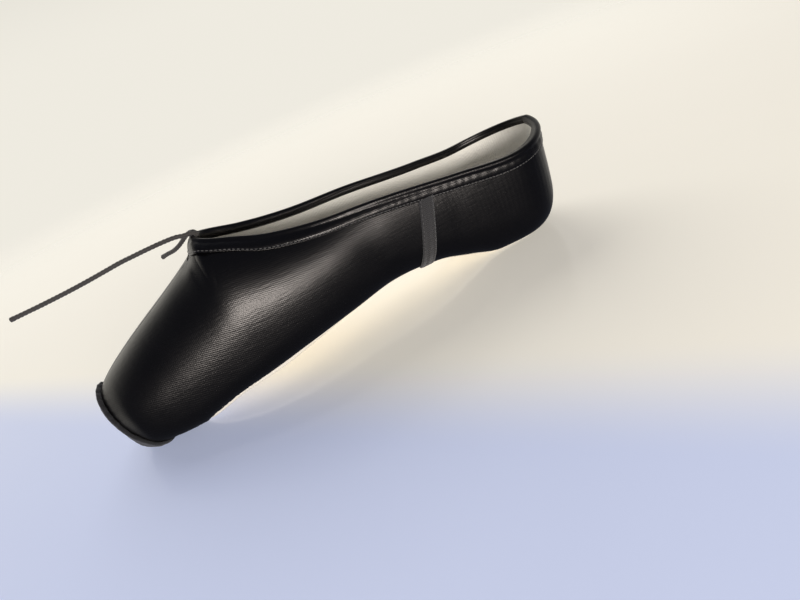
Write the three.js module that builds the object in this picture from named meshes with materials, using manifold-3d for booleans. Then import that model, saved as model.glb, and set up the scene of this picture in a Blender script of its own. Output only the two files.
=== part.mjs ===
// A black satin pointe shoe: a hollow upper drawn over a hard box, a thin leather sole, a board inside,
// a binding with its drawstring round the collar, a raised tape over each side seam and a suede tip.
// Millimetres. The toe points to -X, the heel to +X, +Z is up, and the shoe stands on its sole at z = 0.
import * as THREE from "three";
import { mergeVertices } from "three/addons/utils/BufferGeometryUtils.js";
import Module from "manifold-3d";

const wasm = await Module();
wasm.setup();

// Driving dimensions of the last
const LENGTH = 238; // from the flat of the toe to the back of the heel, over the satin
const THROAT = 65; // from the flat of the toe back to the throat
const HEEL_RADIUS = 30; // the heel is turned about an upright axis this far in from its back
const TOE_EDGE = 2.5; // rounding of the edge round the flat of the toe
const GAP = 0.3; // clearance between pieces that meet
const UPPER_POWER = 2.2; // fullness of the sections above their widest line
const LOWER_POWER = 2.3; // fullness below it
const LEAST_FLAT = 2; // half width that the flat underneath keeps in the smallest section
const FRONT_GROWTH = 12; // a layer over the toe stands forward of it too, less and less over this length

// The flat of the toe leans forward above a height: so far over a rise, fading over a length behind it
const LEAN = { above: 7, rise: 26, forward: 3.7, most: 1.2, length: 45 };

// Made-up layers
const SOLE_THICKNESS = 2.2;
const SOLE_SKIVE = 0.9; // how far the sole's lower edge is cut in
const BOARD_THICKNESS = 1.8;
const BINDING_LAYER = 0.9;
const BINDING_TOP = 1.1; // how far it stands over the collar's edge
const TAPE_LAYER = 0.8;
const TAPE_WIDTH = 7.4;
const TIP_LAYER = 1.2; // suede over the flat of the toe
const CORD_RADIUS = 1.0;

const HEEL_AXIS = LENGTH - HEEL_RADIUS;
const BINDING_BEHIND = 0.4; // how far the binding stands out behind the heel
const TOE_AHEAD = 4.7; // how far the leaning toe and its suede reach forward of the foot of the flat
const TOE_X = -(LENGTH + BINDING_BEHIND - TOE_AHEAD) / 2;

// Sections of the last, seen from above and from the side: half width, half width of the flat
// underneath, height of the widest line, of the bottom and of the crown, and the wall's thickness.
// Behind the throat the crown is the height that the section would close at.
const SECTIONS = [
  { s: 0, half: 12.8, flat: 9.6, widest: 18.0, bottom: 6.6, crown: 30.4, wall: 3.0 },
  { s: 4, half: 18.7, flat: 11.6, widest: 16.6, bottom: 4.1, crown: 33.9, wall: 3.0 },
  { s: 10, half: 24.9, flat: 14.4, widest: 15.5, bottom: 2.5, crown: 38.2, wall: 3.0 },
  { s: 20, half: 28.2, flat: 16.2, widest: 15.8, bottom: 2.5, crown: 44.6, wall: 3.0 },
  { s: 30, half: 30.0, flat: 17.6, widest: 16.6, bottom: 2.5, crown: 50.2, wall: 3.0 },
  { s: 37, half: 31.1, flat: 18.4, widest: 17.6, bottom: 4.6, crown: 53.8, wall: 3.0 },
  { s: 52, half: 32.9, flat: 20.5, widest: 20.4, bottom: 8.6, crown: 61.5, wall: 2.8 },
  { s: 58, half: 33.5, flat: 21.2, widest: 21.9, bottom: 9.3, crown: 64.6, wall: 2.7 },
  { s: 65, half: 34.0, flat: 21.8, widest: 23.8, bottom: 10.0, crown: 72.2, wall: 2.6 },
  { s: 85, half: 33.5, flat: 20.4, widest: 28.2, bottom: 12.1, crown: 68.2, wall: 2.2 },
  { s: 108, half: 31.3, flat: 17.7, widest: 30.8, bottom: 14.2, crown: 66.2, wall: 2.0 },
  { s: 136, half: 27.7, flat: 15.1, widest: 31.8, bottom: 16.5, crown: 69.8, wall: 2.0 },
  { s: 160, half: 26.8, flat: 14.8, widest: 28.8, bottom: 13.5, crown: 74.2, wall: 2.0 },
  { s: 176, half: 27.4, flat: 15.6, widest: 25.6, bottom: 8.2, crown: 79.6, wall: 2.0 },
  { s: 193, half: 28.6, flat: 17.2, widest: 22.8, bottom: 2.9, crown: 92.0, wall: 2.0 },
  { s: 208, half: 29.6, flat: 18.4, widest: 22.2, bottom: 2.5, crown: 106.0, wall: 2.0 },
  { s: 238, half: 30.0, flat: 18.4, widest: 23.6, bottom: 2.5, crown: 112.4, wall: 2.0 },
];

// Height of the collar's edge
const COLLAR = [
  { s: 65, edge: 72.2 },
  { s: 73, edge: 69.4 },
  { s: 93, edge: 62.9 },
  { s: 114, edge: 58.9 },
  { s: 138, edge: 56.4 },
  { s: 180, edge: 50.2 },
  { s: 208, edge: 47.0 },
  { s: 238, edge: 52.0 },
];

// How far the binding runs down from the collar, along the surface
const BINDING_DEPTHS = [
  { s: 65, depth: 7.4 },
  { s: 90, depth: 7.6 },
  { s: 125, depth: 6.2 },
  { s: 238, depth: 6.2 },
];

// Half widths of the sole
const SOLE_OUTLINE = [
  { s: 24, half: 17.4 },
  { s: 45, half: 22.4 },
  { s: 70, half: 24.4 },
  { s: 92, half: 21.4 },
  { s: 118, half: 15.4 },
  { s: 142, half: 12.4 },
  { s: 168, half: 12.4 },
  { s: 196, half: 14.6 },
  { s: 224, half: 15.0 },
];
const SOLE_ENDS = { front: 24, frontRound: 13, back: 224, backRound: 14.5 };
const BOARD_ENDS = { front: 14, frontRound: 8, back: 226, backRound: 19 };

// Side tapes: the middle of the strip at the collar and at the sole
const TAPE = { topS: 164.1, topZ: 56, footS: 151.5, footZ: 16.4 };

// Stations along the shoe, closer together round the toe's edge, the throat and the heel
const STATIONS = [
  0, 0.5, 2.5, 4.5, 8, 14, 22, 30, 37, 45, 52, 57.5, 57.7, 58.4, 59.8, 61.8, 63.6, 65,
  66, 68, 71, 76, 83, 92, 103, 115, 127, 139, 151, 162, 172, 182, 191, 200,
];
const HEEL_STEPS = 8;
const HEEL_STATIONS = [];
for (let i = 0; i <= HEEL_STEPS; i++) HEEL_STATIONS.push(HEEL_AXIS + (i / HEEL_STEPS) * HEEL_RADIUS);
const LOWER_STEPS = 5;
const UPPER_STEPS = 9;
const WALK_STEP = 0.05; // drop of each step when a line is measured down the surface
const WELD = 1e-3; // vertices closer than this are one

// The mouth seen from above, behind its front point
const MOUTH_STEPS = [0.4, 1.2, 2.6, 5, 9, 15, 24, 35, 48, 62, 76, 90, 104, 118, 130];
const THROAT_ROUND = 4;
const MOUTH_LOW = 30;
const MOUTH_HIGH = 120;
const CAVITY_LIFT = 4; // how far the hollow runs on above the collar's edge

// The opening underneath
const OPENING = { front: 30, back: 222, margin: 6, fullness: 3, low: -5, high: 21 };
const OPENING_STEPS = 28;

// Layers under and in the foot
const ROUND_STEPS = 6;
const BOARD_MARGIN = 0.6;

// Reach of the suede tip, seen from the side: a thin rim above, and further back underneath
const TIP_REACH = [
  { s: -9, z: -4 },
  { s: 16, z: -4 },
  { s: 15.4, z: 2 },
  { s: 14, z: 5 },
  { s: 11, z: 7.6 },
  { s: 7.5, z: 9.6 },
  { s: 4, z: 11.8 },
  { s: 1.4, z: 14.5 },
  { s: -0.6, z: 18 },
  { s: -2, z: 24 },
  { s: -2.7, z: 29 },
  { s: -3.3, z: 33 },
  { s: -4, z: 44 },
  { s: -9, z: 44 },
];

// Cutting forms that stand well clear of the shoe
const OVER_ALL = 3;
const OUTSIDE = 60;
const MIDDLE = 1; // a form for one side starts this far from the shoe's middle

// Drawstring: both ends leave the casing at the throat, over the binding
const CORD_SIDES = 8;
const CORD_STEP = 4;
const LONG_END = [
  [-51.0, -0.8, 74.7],
  [-54.8, -0.8, 75.0],
  [-58.0, -0.7, 75.8],
  [-62.3, -0.6, 76.2],
  [-68.9, -0.4, 76.4],
  [-75.5, -0.2, 76.4],
  [-82.1, 0.2, 76.3],
  [-88.9, 0.6, 75.8],
  [-95.7, 1.1, 75.3],
  [-102.3, 1.7, 74.9],
  [-108.8, 2.4, 74.6],
  [-117.3, 3.1, 74.4],
  [-124.7, 3.9, 74.3],
  [-129.9, 4.7, 74.2],
];
const SHORT_END = [
  [-51.0, 2.6, 74.6],
  [-53.6, 5.0, 73.6],
  [-56.6, 7.8, 71.6],
  [-59.6, 10.6, 69.6],
  [-62.9, 14.2, 67.9],
  [-66.4, 18.1, 66.9],
  [-69.5, 22.0, 65.8],
];

// Smooth curve through the rows of a table that never overshoots them
function tableCurve(rows, column) {
  const x = rows.map((row) => row.s);
  const y = rows.map((row) => row[column]);
  const last = x.length - 1;
  const step = x.slice(1).map((value, i) => value - x[i]);
  const slope = step.map((h, i) => (y[i + 1] - y[i]) / h);
  const tangent = x.map((_, i) => {
    if (i === 0) return slope[0];
    if (i === last) return slope[last - 1];
    if (slope[i - 1] * slope[i] <= 0) return 0;
    const before = 2 * step[i] + step[i - 1];
    const after = step[i] + 2 * step[i - 1];
    return (before + after) / (before / slope[i - 1] + after / slope[i]);
  });
  return (s) => {
    const at = THREE.MathUtils.clamp(s, x[0], x[last]);
    const i = Math.min(last - 1, x.findLastIndex((value) => value <= at));
    const h = step[i];
    const t = (at - x[i]) / h;
    const a = y[i] * (1 + 2 * t) * (1 - t) ** 2;
    const b = h * tangent[i] * t * (1 - t) ** 2;
    const c = y[i + 1] * t * t * (3 - 2 * t);
    const d = h * tangent[i + 1] * t * t * (t - 1);
    return a + b + c + d;
  };
}

const last = {
  half: tableCurve(SECTIONS, "half"),
  flat: tableCurve(SECTIONS, "flat"),
  widest: tableCurve(SECTIONS, "widest"),
  bottom: tableCurve(SECTIONS, "bottom"),
  crown: tableCurve(SECTIONS, "crown"),
  wall: tableCurve(SECTIONS, "wall"),
};
const collarEdge = tableCurve(COLLAR, "edge");
const bindingDepth = tableCurve(BINDING_DEPTHS, "depth");

// One section at station s, grown by so many millimetres all round
function section(s, grow) {
  const inset = s < TOE_EDGE ? TOE_EDGE - Math.sqrt(TOE_EDGE ** 2 - (TOE_EDGE - s) ** 2) : 0;
  const g = grow - inset;
  return {
    half: last.half(s) + g,
    flat: Math.max(LEAST_FLAT, last.flat(s) + g),
    widest: last.widest(s),
    bottom: last.bottom(s) - g,
    crown: last.crown(s) + g,
  };
}

// Half width of a section at a height above its widest line
function halfWidthAt(shape, z) {
  const rise = THREE.MathUtils.clamp((z - shape.widest) / (shape.crown - shape.widest), 0, 1);
  return shape.half * (1 - rise ** UPPER_POWER) ** (1 / UPPER_POWER);
}

// Height of the line that lies so far down the outside from the collar's edge, round the throat too
function lineBelowCollar(s, depth) {
  if (s < THROAT - depth) return Infinity;
  const ahead = Math.max(0, THROAT - s);
  const along = Math.sqrt(depth ** 2 - ahead ** 2);
  const shape = section(s, 0);
  let z = s < THROAT ? shape.crown : collarEdge(s);
  let width = s < THROAT ? 0 : halfWidthAt(shape, z);
  let walked = 0;
  while (walked < along) {
    const next = halfWidthAt(shape, z - WALK_STEP);
    walked += Math.hypot(next - width, WALK_STEP);
    width = next;
    z -= WALK_STEP;
  }
  return z;
}

// Half of a section as points (r, z), from the middle of the bottom up to the crown or the lid
function halfSection(s, grow, lid) {
  const shape = section(s, grow);
  const points = [[0, shape.bottom]];
  for (let i = 0; i <= LOWER_STEPS; i++) {
    const t = (i / LOWER_STEPS) * Math.PI / 2;
    const r = shape.flat + (shape.half - shape.flat) * Math.sin(t) ** (2 / LOWER_POWER);
    const z = shape.widest - (shape.widest - shape.bottom) * Math.cos(t) ** (2 / LOWER_POWER);
    points.push([r, z]);
  }
  const top = Math.min(lid, shape.crown);
  const rise = THREE.MathUtils.clamp((top - shape.widest) / (shape.crown - shape.widest), 0, 1);
  const end = Math.asin(Math.min(1, rise ** (UPPER_POWER / 2)));
  for (let i = 1; i <= UPPER_STEPS; i++) {
    const t = (i / UPPER_STEPS) * end;
    const r = shape.half * Math.max(0, Math.cos(t)) ** (2 / UPPER_POWER);
    const z = shape.widest + (shape.crown - shape.widest) * Math.sin(t) ** (2 / UPPER_POWER);
    points.push([r < WELD ? 0 : r, z]);
  }
  points.push([0, top]);
  return points;
}

// How far the toe leans forward at a height
function lean(s, z) {
  const up = THREE.MathUtils.clamp((z - LEAN.above) / LEAN.rise, 0, LEAN.most);
  return LEAN.forward * up * Math.max(0, 1 - s / LEAN.length) ** 2;
}

// A point of the last: the sections turn about the heel's axis behind it
function place(s, grow, side, r, z) {
  const turn = Math.max(0, (s - HEEL_AXIS) / HEEL_RADIUS) * Math.PI / 2;
  const front = grow * Math.max(0, 1 - s / FRONT_GROWTH) + lean(s, z);
  return [TOE_X + Math.min(s, HEEL_AXIS) - front + r * Math.sin(turn), side * r * Math.cos(turn), z];
}

function toSolid(geometry) {
  const plain = geometry.clone();
  plain.deleteAttribute("normal");
  plain.deleteAttribute("uv");
  const merged = mergeVertices(plain, WELD);
  const index = merged.getIndex().array;
  const faces = [];
  for (let i = 0; i < index.length; i += 3) {
    const [a, b, c] = [index[i], index[i + 1], index[i + 2]];
    if (a !== b && b !== c && c !== a) faces.push(a, b, c);
  }
  return new wasm.Manifold(new wasm.Mesh({
    numProp: 3,
    vertProperties: new Float32Array(merged.getAttribute("position").array),
    triVerts: new Uint32Array(faces),
  }));
}

function toGeometry(solid) {
  const mesh = solid.getMesh();
  const geometry = new THREE.BufferGeometry();
  geometry.setAttribute("position", new THREE.Float32BufferAttribute(mesh.vertProperties, 3));
  geometry.setIndex(Array.from(mesh.triVerts));
  return geometry;
}

function meshGeometry(vertices, faces) {
  const geometry = new THREE.BufferGeometry();
  geometry.setAttribute("position", new THREE.Float32BufferAttribute(vertices.flat(), 3));
  geometry.setIndex(faces.flat());
  return geometry;
}

// Two triangles for each side of a strip between two rows of vertex numbers
function joinRows(faces, here, next, flip) {
  for (let j = 0; j + 1 < here.length; j++) {
    const [a, b, c, d] = [here[j], next[j], next[j + 1], here[j + 1]];
    faces.push(flip ? [a, c, b] : [a, b, c], flip ? [a, d, c] : [a, c, d]);
  }
}

// The last as one closed solid: grow(s) is how far it stands off, lid(s) is the height that closes it
function lastSolid(grow, lid) {
  const vertices = [];
  const faces = [];
  const rings = [...STATIONS, ...HEEL_STATIONS].map((s) => {
    const points = halfSection(s, grow(s), lid(s));
    const middleTop = Math.min(lid(HEEL_AXIS), section(HEEL_AXIS, grow(s)).crown);
    if (s >= HEEL_AXIS) points.at(-1)[1] = middleTop;
    const row = (side) => points.map(([r, z]) => vertices.push(place(s, grow(s), side, r, z)) - 1);
    return [row(-1), row(1)];
  });
  for (let i = 0; i + 1 < rings.length; i++) {
    joinRows(faces, rings[i][0], rings[i + 1][0], false);
    joinRows(faces, rings[i][1], rings[i + 1][1], true);
  }
  const middle = vertices.push(place(0, grow(0), 1, 0, last.widest(0))) - 1;
  const toeRows = rings[0].map((row) => row.map(() => middle));
  joinRows(faces, toeRows[0], rings[0][0], false);
  joinRows(faces, toeRows[1], rings[0][1], true);
  return toSolid(meshGeometry(vertices, faces));
}

// A prism over an outline of (x, y) points, between two heights
function uprightPrism(outline, low, high) {
  const shape = new THREE.Shape(outline.map(([x, y]) => new THREE.Vector2(x, y)));
  const geometry = new THREE.ExtrudeGeometry(shape, { depth: high - low, bevelEnabled: false });
  return toSolid(geometry.translate(0, 0, low));
}

// A prism across the shoe over an outline of (s, z) points
function crossPrism(outline, near, far) {
  const shape = new THREE.Shape(outline.map(([s, z]) => new THREE.Vector2(TOE_X + s, z)));
  const geometry = new THREE.ExtrudeGeometry(shape, { depth: far - near, bevelEnabled: false });
  return toSolid(geometry.rotateX(Math.PI / 2).translate(0, far, 0));
}

// Both sides of an outline that is given along its near side, from the toe end to the heel end
function mirrored(near) {
  return [...near, ...near.slice(1, -1).reverse().map(([x, y]) => [x, -y])];
}

const open = () => Infinity;
const steady = (grow) => () => grow;
const collarLid = (lift) => (s) => (s < THROAT ? Infinity : collarEdge(s) + lift);
const bindingLid = (extra) => (s) => lineBelowCollar(s, bindingDepth(s) + extra);

// The mouth of the shoe seen from above, inside a wall that is thicker than the upper's by `extra`
function mouth(extra) {
  const front = THROAT + last.wall(THROAT) + extra;
  const outline = [[TOE_X + front, 0]];
  for (const s of [...MOUTH_STEPS.map((step) => front + step), ...HEEL_STATIONS.slice(0, -1)]) {
    const edge = halfWidthAt(section(s, 0), collarEdge(s)) - last.wall(s) - extra;
    const rounding = Math.min(1, Math.sqrt((s - front) / THROAT_ROUND));
    outline.push(place(s, 0, -1, edge * rounding, 0));
  }
  const back = halfWidthAt(section(LENGTH, 0), collarEdge(LENGTH)) - last.wall(LENGTH) - extra;
  outline.push([TOE_X + HEEL_AXIS + back, 0]);
  return uprightPrism(mirrored(outline), MOUTH_LOW, MOUTH_HIGH);
}

// A shell round the foot: grown outside, lifted at the collar, and thicker inside than the upper
function footShell(outer, lift, inner) {
  const cavity = lastSolid((s) => -last.wall(s) - inner, collarLid(CAVITY_LIFT));
  return lastSolid(steady(outer), collarLid(lift)).subtract(cavity).subtract(mouth(inner));
}

// The opening underneath, which the board closes inside and the sole outside
function soleOpening() {
  const outline = [];
  for (let i = 0; i <= OPENING_STEPS; i++) {
    const turn = (i / OPENING_STEPS) * Math.PI;
    const s = (OPENING.front + OPENING.back) / 2 - ((OPENING.back - OPENING.front) / 2) * Math.cos(turn);
    const half = last.flat(s) - OPENING.margin;
    outline.push([TOE_X + s, -half * Math.min(1, OPENING.fullness * Math.sin(turn))]);
  }
  return uprightPrism(mirrored(outline), OPENING.low, OPENING.high);
}

function upper() {
  return footShell(0, 0, 0).subtract(soleOpening());
}

// Stations of a layer: those of the last between its rounded ends, which have their own
function layerStations({ front, frontRound, back, backRound }) {
  const easing = [];
  for (let i = 0; i <= ROUND_STEPS; i++) easing.push(1 - Math.cos((i / ROUND_STEPS) * (Math.PI / 2)));
  const roundFront = easing.map((e) => front + frontRound * e);
  const roundBack = easing.map((e) => back - backRound * e).reverse();
  const between = STATIONS.filter((s) => s > front + frontRound && s < back - backRound);
  return [...roundFront, ...between, ...roundBack];
}

// A thin layer that follows the bottom of the last: its outline is rounded at both ends
function layer(outline, ends, topHeight, thickness, skive) {
  const half = tableCurve(outline, "half");
  const width = (s, cut) => {
    const fromFront = THREE.MathUtils.clamp((s - ends.front - cut) / ends.frontRound, 0, 1);
    const fromBack = THREE.MathUtils.clamp((ends.back - cut - s) / ends.backRound, 0, 1);
    return (half(s) - cut) * Math.sqrt(1 - (1 - fromFront) ** 2) * Math.sqrt(1 - (1 - fromBack) ** 2);
  };
  const vertices = [];
  const faces = [];
  const rings = [];
  for (const top of layerStations(ends)) {
    const u = (top - ends.front) / (ends.back - ends.front);
    const low = ends.front + skive + (ends.back - ends.front - 2 * skive) * u;
    const [topHalf, lowHalf] = [width(top, 0), width(low, skive)];
    const corners = [
      [TOE_X + low, -lowHalf, topHeight(low) - thickness],
      [TOE_X + top, -topHalf, topHeight(top)],
      [TOE_X + top, topHalf, topHeight(top)],
      [TOE_X + low, lowHalf, topHeight(low) - thickness],
    ].map((corner) => vertices.push(corner) - 1);
    rings.push([...corners, corners[0]]);
  }
  for (let i = 0; i + 1 < rings.length; i++) joinRows(faces, rings[i], rings[i + 1], false);
  return toSolid(meshGeometry(vertices, faces));
}

function sole() {
  return layer(SOLE_OUTLINE, SOLE_ENDS, (s) => last.bottom(s) - GAP, SOLE_THICKNESS, SOLE_SKIVE);
}

function board() {
  const outline = SECTIONS.map(({ s, flat, wall }) => ({ s, half: flat - wall + BOARD_MARGIN }));
  const top = (s) => last.bottom(s) + last.wall(s) + GAP + BOARD_THICKNESS;
  return layer(outline, BOARD_ENDS, top, BOARD_THICKNESS, 0);
}

function binding() {
  const blank = footShell(GAP + BINDING_LAYER, BINDING_TOP, GAP + BINDING_LAYER);
  const below = lastSolid(steady(OVER_ALL), bindingLid(0));
  return blank.subtract(footShell(GAP, GAP, GAP)).subtract(below);
}

// A raised tape over the side seam, from the binding down to the edge of the sole
function sideTape(side) {
  const half = TAPE_WIDTH / 2;
  const strip = crossPrism([
    [TAPE.footS - half, TAPE.footZ],
    [TAPE.footS + half, TAPE.footZ],
    [TAPE.topS + half, TAPE.topZ],
    [TAPE.topS - half, TAPE.topZ],
  ], side < 0 ? -OUTSIDE : MIDDLE, side < 0 ? -MIDDLE : OUTSIDE);
  const skin = lastSolid(steady(GAP + TAPE_LAYER), open).subtract(lastSolid(steady(GAP), open));
  return skin.intersect(strip).intersect(lastSolid(steady(OVER_ALL), bindingLid(GAP)));
}

// Suede over the flat of the toe, round its edge and under its lower corner
function toeTip() {
  const skin = lastSolid(steady(GAP + TIP_LAYER), open).subtract(lastSolid(steady(GAP), open));
  const reach = crossPrism(TIP_REACH.map(({ s, z }) => [s, z]), -OUTSIDE, OUTSIDE);
  return skin.intersect(reach);
}

function cord(route) {
  const curve = new THREE.CatmullRomCurve3(route.map(([x, y, z]) => new THREE.Vector3(x, y, z)));
  const outline = new THREE.Shape(Array.from({ length: CORD_SIDES }, (_, i) => {
    const turn = (i / CORD_SIDES) * 2 * Math.PI;
    return new THREE.Vector2(CORD_RADIUS * Math.cos(turn), CORD_RADIUS * Math.sin(turn));
  }));
  const steps = Math.ceil(curve.getLength() / CORD_STEP);
  return toSolid(new THREE.ExtrudeGeometry(outline, { steps, extrudePath: curve, bevelEnabled: false }));
}

const satin = { color: 0x0c0c10, roughness: 0.42, metalness: 0 };
const bindingSatin = { color: 0x101014, roughness: 0.4, metalness: 0 };
const tapeWeave = { color: 0x2e2f33, roughness: 0.85, metalness: 0 };
const suede = { color: 0x1a1a1c, roughness: 0.95, metalness: 0 };
const soleLeather = { color: 0xd9cdb6, roughness: 0.7, metalness: 0 };
const boardCotton = { color: 0xe4ddcd, roughness: 0.9, metalness: 0 };
const cordCotton = { color: 0x2b2826, roughness: 0.8, metalness: 0 };

const PIECES = [
  ["upper", upper, satin],
  ["outsole", sole, soleLeather],
  ["insole", board, boardCotton],
  ["binding", binding, bindingSatin],
  ["side_tape_near", () => sideTape(-1), tapeWeave],
  ["side_tape_far", () => sideTape(1), tapeWeave],
  ["toe_tip", toeTip, suede],
  ["drawstring_long", () => cord(LONG_END), cordCotton],
  ["drawstring_short", () => cord(SHORT_END), cordCotton],
];

const shoe = new THREE.Group();
shoe.name = "pointe_shoe";
for (const [name, build, finish] of PIECES) {
  const mesh = new THREE.Mesh(toGeometry(build()), new THREE.MeshStandardMaterial(finish));
  mesh.name = name;
  shoe.add(mesh);
}

export default shoe;
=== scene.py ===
"""A black satin pointe shoe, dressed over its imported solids.

The last's sections are worked out here in the same way as in the solids, so that every dressed piece lies
where its solid does. Lengths are in millimetres until a mesh is made, and then in metres.
"""

import logging
import math
from collections.abc import Callable, Sequence
from dataclasses import dataclass
from enum import Enum

import bpy
import numpy as np
from mathutils import Matrix, Vector


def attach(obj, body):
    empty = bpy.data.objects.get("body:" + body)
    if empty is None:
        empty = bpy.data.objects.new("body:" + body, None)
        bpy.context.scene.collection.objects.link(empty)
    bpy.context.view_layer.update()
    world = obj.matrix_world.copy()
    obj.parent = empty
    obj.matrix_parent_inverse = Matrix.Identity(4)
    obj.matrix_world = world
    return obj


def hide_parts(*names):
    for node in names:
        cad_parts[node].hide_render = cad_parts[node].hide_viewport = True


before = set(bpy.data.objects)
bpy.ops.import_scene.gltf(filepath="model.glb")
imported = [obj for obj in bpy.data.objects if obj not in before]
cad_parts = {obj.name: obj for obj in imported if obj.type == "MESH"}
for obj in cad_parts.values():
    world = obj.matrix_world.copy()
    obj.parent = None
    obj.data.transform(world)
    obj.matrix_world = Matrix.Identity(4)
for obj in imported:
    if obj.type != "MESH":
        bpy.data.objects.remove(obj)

Array = np.ndarray
LOG = logging.getLogger("pointe_shoe")
MM = 0.001
BODY = "root"


class Slot(Enum):
    """Material slots of the record."""

    SATIN = "satin"
    BINDING = "binding_satin"
    TAPE = "side_tape"
    SUEDE = "tip_suede"
    LEATHER = "sole_leather"
    COTTON = "sock_cotton"
    CORD = "cord_cotton"


class Side(Enum):
    """The two sides of the shoe, as the sign of y."""

    NEAR = -1
    FAR = 1


# Shader graphs


class Wire:
    """One output of a shader node, on which arithmetic adds Math nodes."""

    def __init__(self, graph: "Graph", socket: bpy.types.NodeSocket) -> None:
        """Keep the graph and its socket."""
        self.graph = graph
        self.socket = socket

    def _math(self, operation: str, *values: "Wire | float") -> "Wire":
        """Add one Math node."""
        return self.graph.node("ShaderNodeMath", {"operation": operation}, dict(enumerate(values)))

    def __add__(self, other: "Wire | float") -> "Wire":
        """Sum."""
        return self._math("ADD", self, other)

    def __mul__(self, other: "Wire | float") -> "Wire":
        """Product."""
        return self._math("MULTIPLY", self, other)

    def __rsub__(self, other: "Wire | float") -> "Wire":
        """Difference from a plain number."""
        return self._math("SUBTRACT", other, self)

    __radd__ = __add__
    __rmul__ = __mul__

    def clipped(self) -> "Wire":
        """The value held between 0 and 1."""
        return self.graph.node("ShaderNodeClamp", {}, {"Value": self})


class Graph:
    """The node tree of one material or of the world."""

    def __init__(self, name: str, world: bool = False) -> None:
        """Make the material or the world, with its shader.

        Args:
            name: its name.
            world: whether it is a world.
        """
        self.material = (bpy.data.worlds if world else bpy.data.materials).new(name)
        self.material.use_nodes = True
        self.tree = self.material.node_tree
        self.shader = self.tree.nodes["Background" if world else "Principled BSDF"]

    def node(self, kind: str, settings: dict, inputs: dict, output: int | str = 0) -> Wire:
        """Add any node.

        Args:
            kind: the node's type.
            settings: its properties, set first; "stops" sets a colour ramp.
            inputs: values or wires for its sockets, by name or number.
            output: the output that is wanted.

        Returns:
            The wanted output.
        """
        made = self.tree.nodes.new(kind)
        for key, value in settings.items():
            if key == "stops":
                self._ramp(made.color_ramp, value)
            else:
                setattr(made, key, value)
        for key, value in inputs.items():
            self.feed(made.inputs[key], value)
        return Wire(self, made.outputs[output])

    @staticmethod
    def _ramp(ramp: bpy.types.ColorRamp, stops: Sequence[tuple[float, Sequence[float]]]) -> None:
        """Set a colour ramp's stops."""
        while len(ramp.elements) < len(stops):
            ramp.elements.new(1.0)
        for element, (position, colour) in zip(ramp.elements, stops):
            element.position = position
            element.color = (*colour, 1.0)

    def feed(self, socket: bpy.types.NodeSocket, value: "Wire | float | Sequence[float]") -> None:
        """Link a wire to a socket, or set the socket's own value."""
        if isinstance(value, Wire):
            self.tree.links.new(value.socket, socket)
        elif isinstance(value, (tuple, list)) and len(value) == 3 and len(socket.default_value) == 4:
            socket.default_value = (*value, 1.0)
        else:
            socket.default_value = value

    def set(self, **values: "Wire | float | Sequence[float]") -> None:
        """Feed the shader's sockets; an underscore in a key stands for a space."""
        for key, value in values.items():
            self.feed(self.shader.inputs[key.replace("_", " ")], value)

    def place(self) -> Wire:
        """Object coordinates."""
        return self.node("ShaderNodeTexCoord", {}, {}, "Object")

    def surface(self) -> Wire:
        """The piece's own map, in millimetres along and across it."""
        return self.node("ShaderNodeUVMap", {"uv_map": "Along"}, {})

    def noise(self, at: Wire, size: float, detail: float = 2.0, stretch: Sequence[float] = (1, 1, 1)) -> Wire:
        """Noise whose features are about `size` metres, stretched along the axes.

        Args:
            at: where it is looked up.
            size: size of its features in metres.
            detail: how many finer layers it has.
            stretch: how much finer it is along each axis.

        Returns:
            Its value.
        """
        mapped = self.node("ShaderNodeMapping", {}, {"Vector": at, "Scale": [v / size for v in stretch]})
        return self.node("ShaderNodeTexNoise", {}, {"Vector": mapped, "Scale": 1.0, "Detail": detail})

    def dot(self, at: Wire, direction: Sequence[float]) -> Wire:
        """How far a place lies along a direction."""
        settings = {"operation": "DOT_PRODUCT"}
        return self.node("ShaderNodeVectorMath", settings, {0: at, 1: direction}, "Value")

    def between(self, value: Wire, low: float, high: float) -> Wire:
        """0 where the value is at `low`, 1 where it is at `high`, smooth between.

        Args:
            value: the value that is looked at.
            low: where the result is 0.
            high: where the result is 1; it may be below `low`.

        Returns:
            The smooth share.
        """
        settings = {"interpolation_type": "SMOOTHSTEP"}
        return self.node("ShaderNodeMapRange", settings, {"Value": value, "From Min": low, "From Max": high})

    def waves(self, at: Wire, pitch: float, direction: Sequence[float], distortion: float = 0.0) -> Wire:
        """Parallel ribs of the given pitch across a direction.

        Args:
            at: where they are looked up.
            pitch: their spacing in metres.
            direction: the way across them.
            distortion: how much they wander.

        Returns:
            Their height, from 0 to 1.
        """
        steep = Vector(direction).normalized()
        turned = self.dot(at, tuple(steep))
        wobble = self.noise(at, pitch * 6, 1.0)
        phase = turned * (math.tau / pitch) + wobble * distortion
        return self.node("ShaderNodeMath", {"operation": "SINE"}, {0: phase}) * 0.5 + 0.5

    def mix(self, factor: Wire, low: Sequence[float], high: Sequence[float]) -> Wire:
        """Blend two colours."""
        settings = {"data_type": "RGBA"}
        return self.node("ShaderNodeMix", settings, {"Factor": factor, 6: (*low, 1), 7: (*high, 1)}, 2)

    def bump(self, height: Wire, depth: float, over: Wire | None = None) -> Wire:
        """Bump of so many metres, over another where there is one.

        Args:
            height: the pattern.
            depth: its depth in metres.
            over: a bump that it lies on.

        Returns:
            The bumped direction.
        """
        inputs = {"Height": height, "Distance": depth, "Strength": 1.0}
        if over is not None:
            inputs["Normal"] = over
        return self.node("ShaderNodeBump", {}, inputs)


# Finishes


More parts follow.
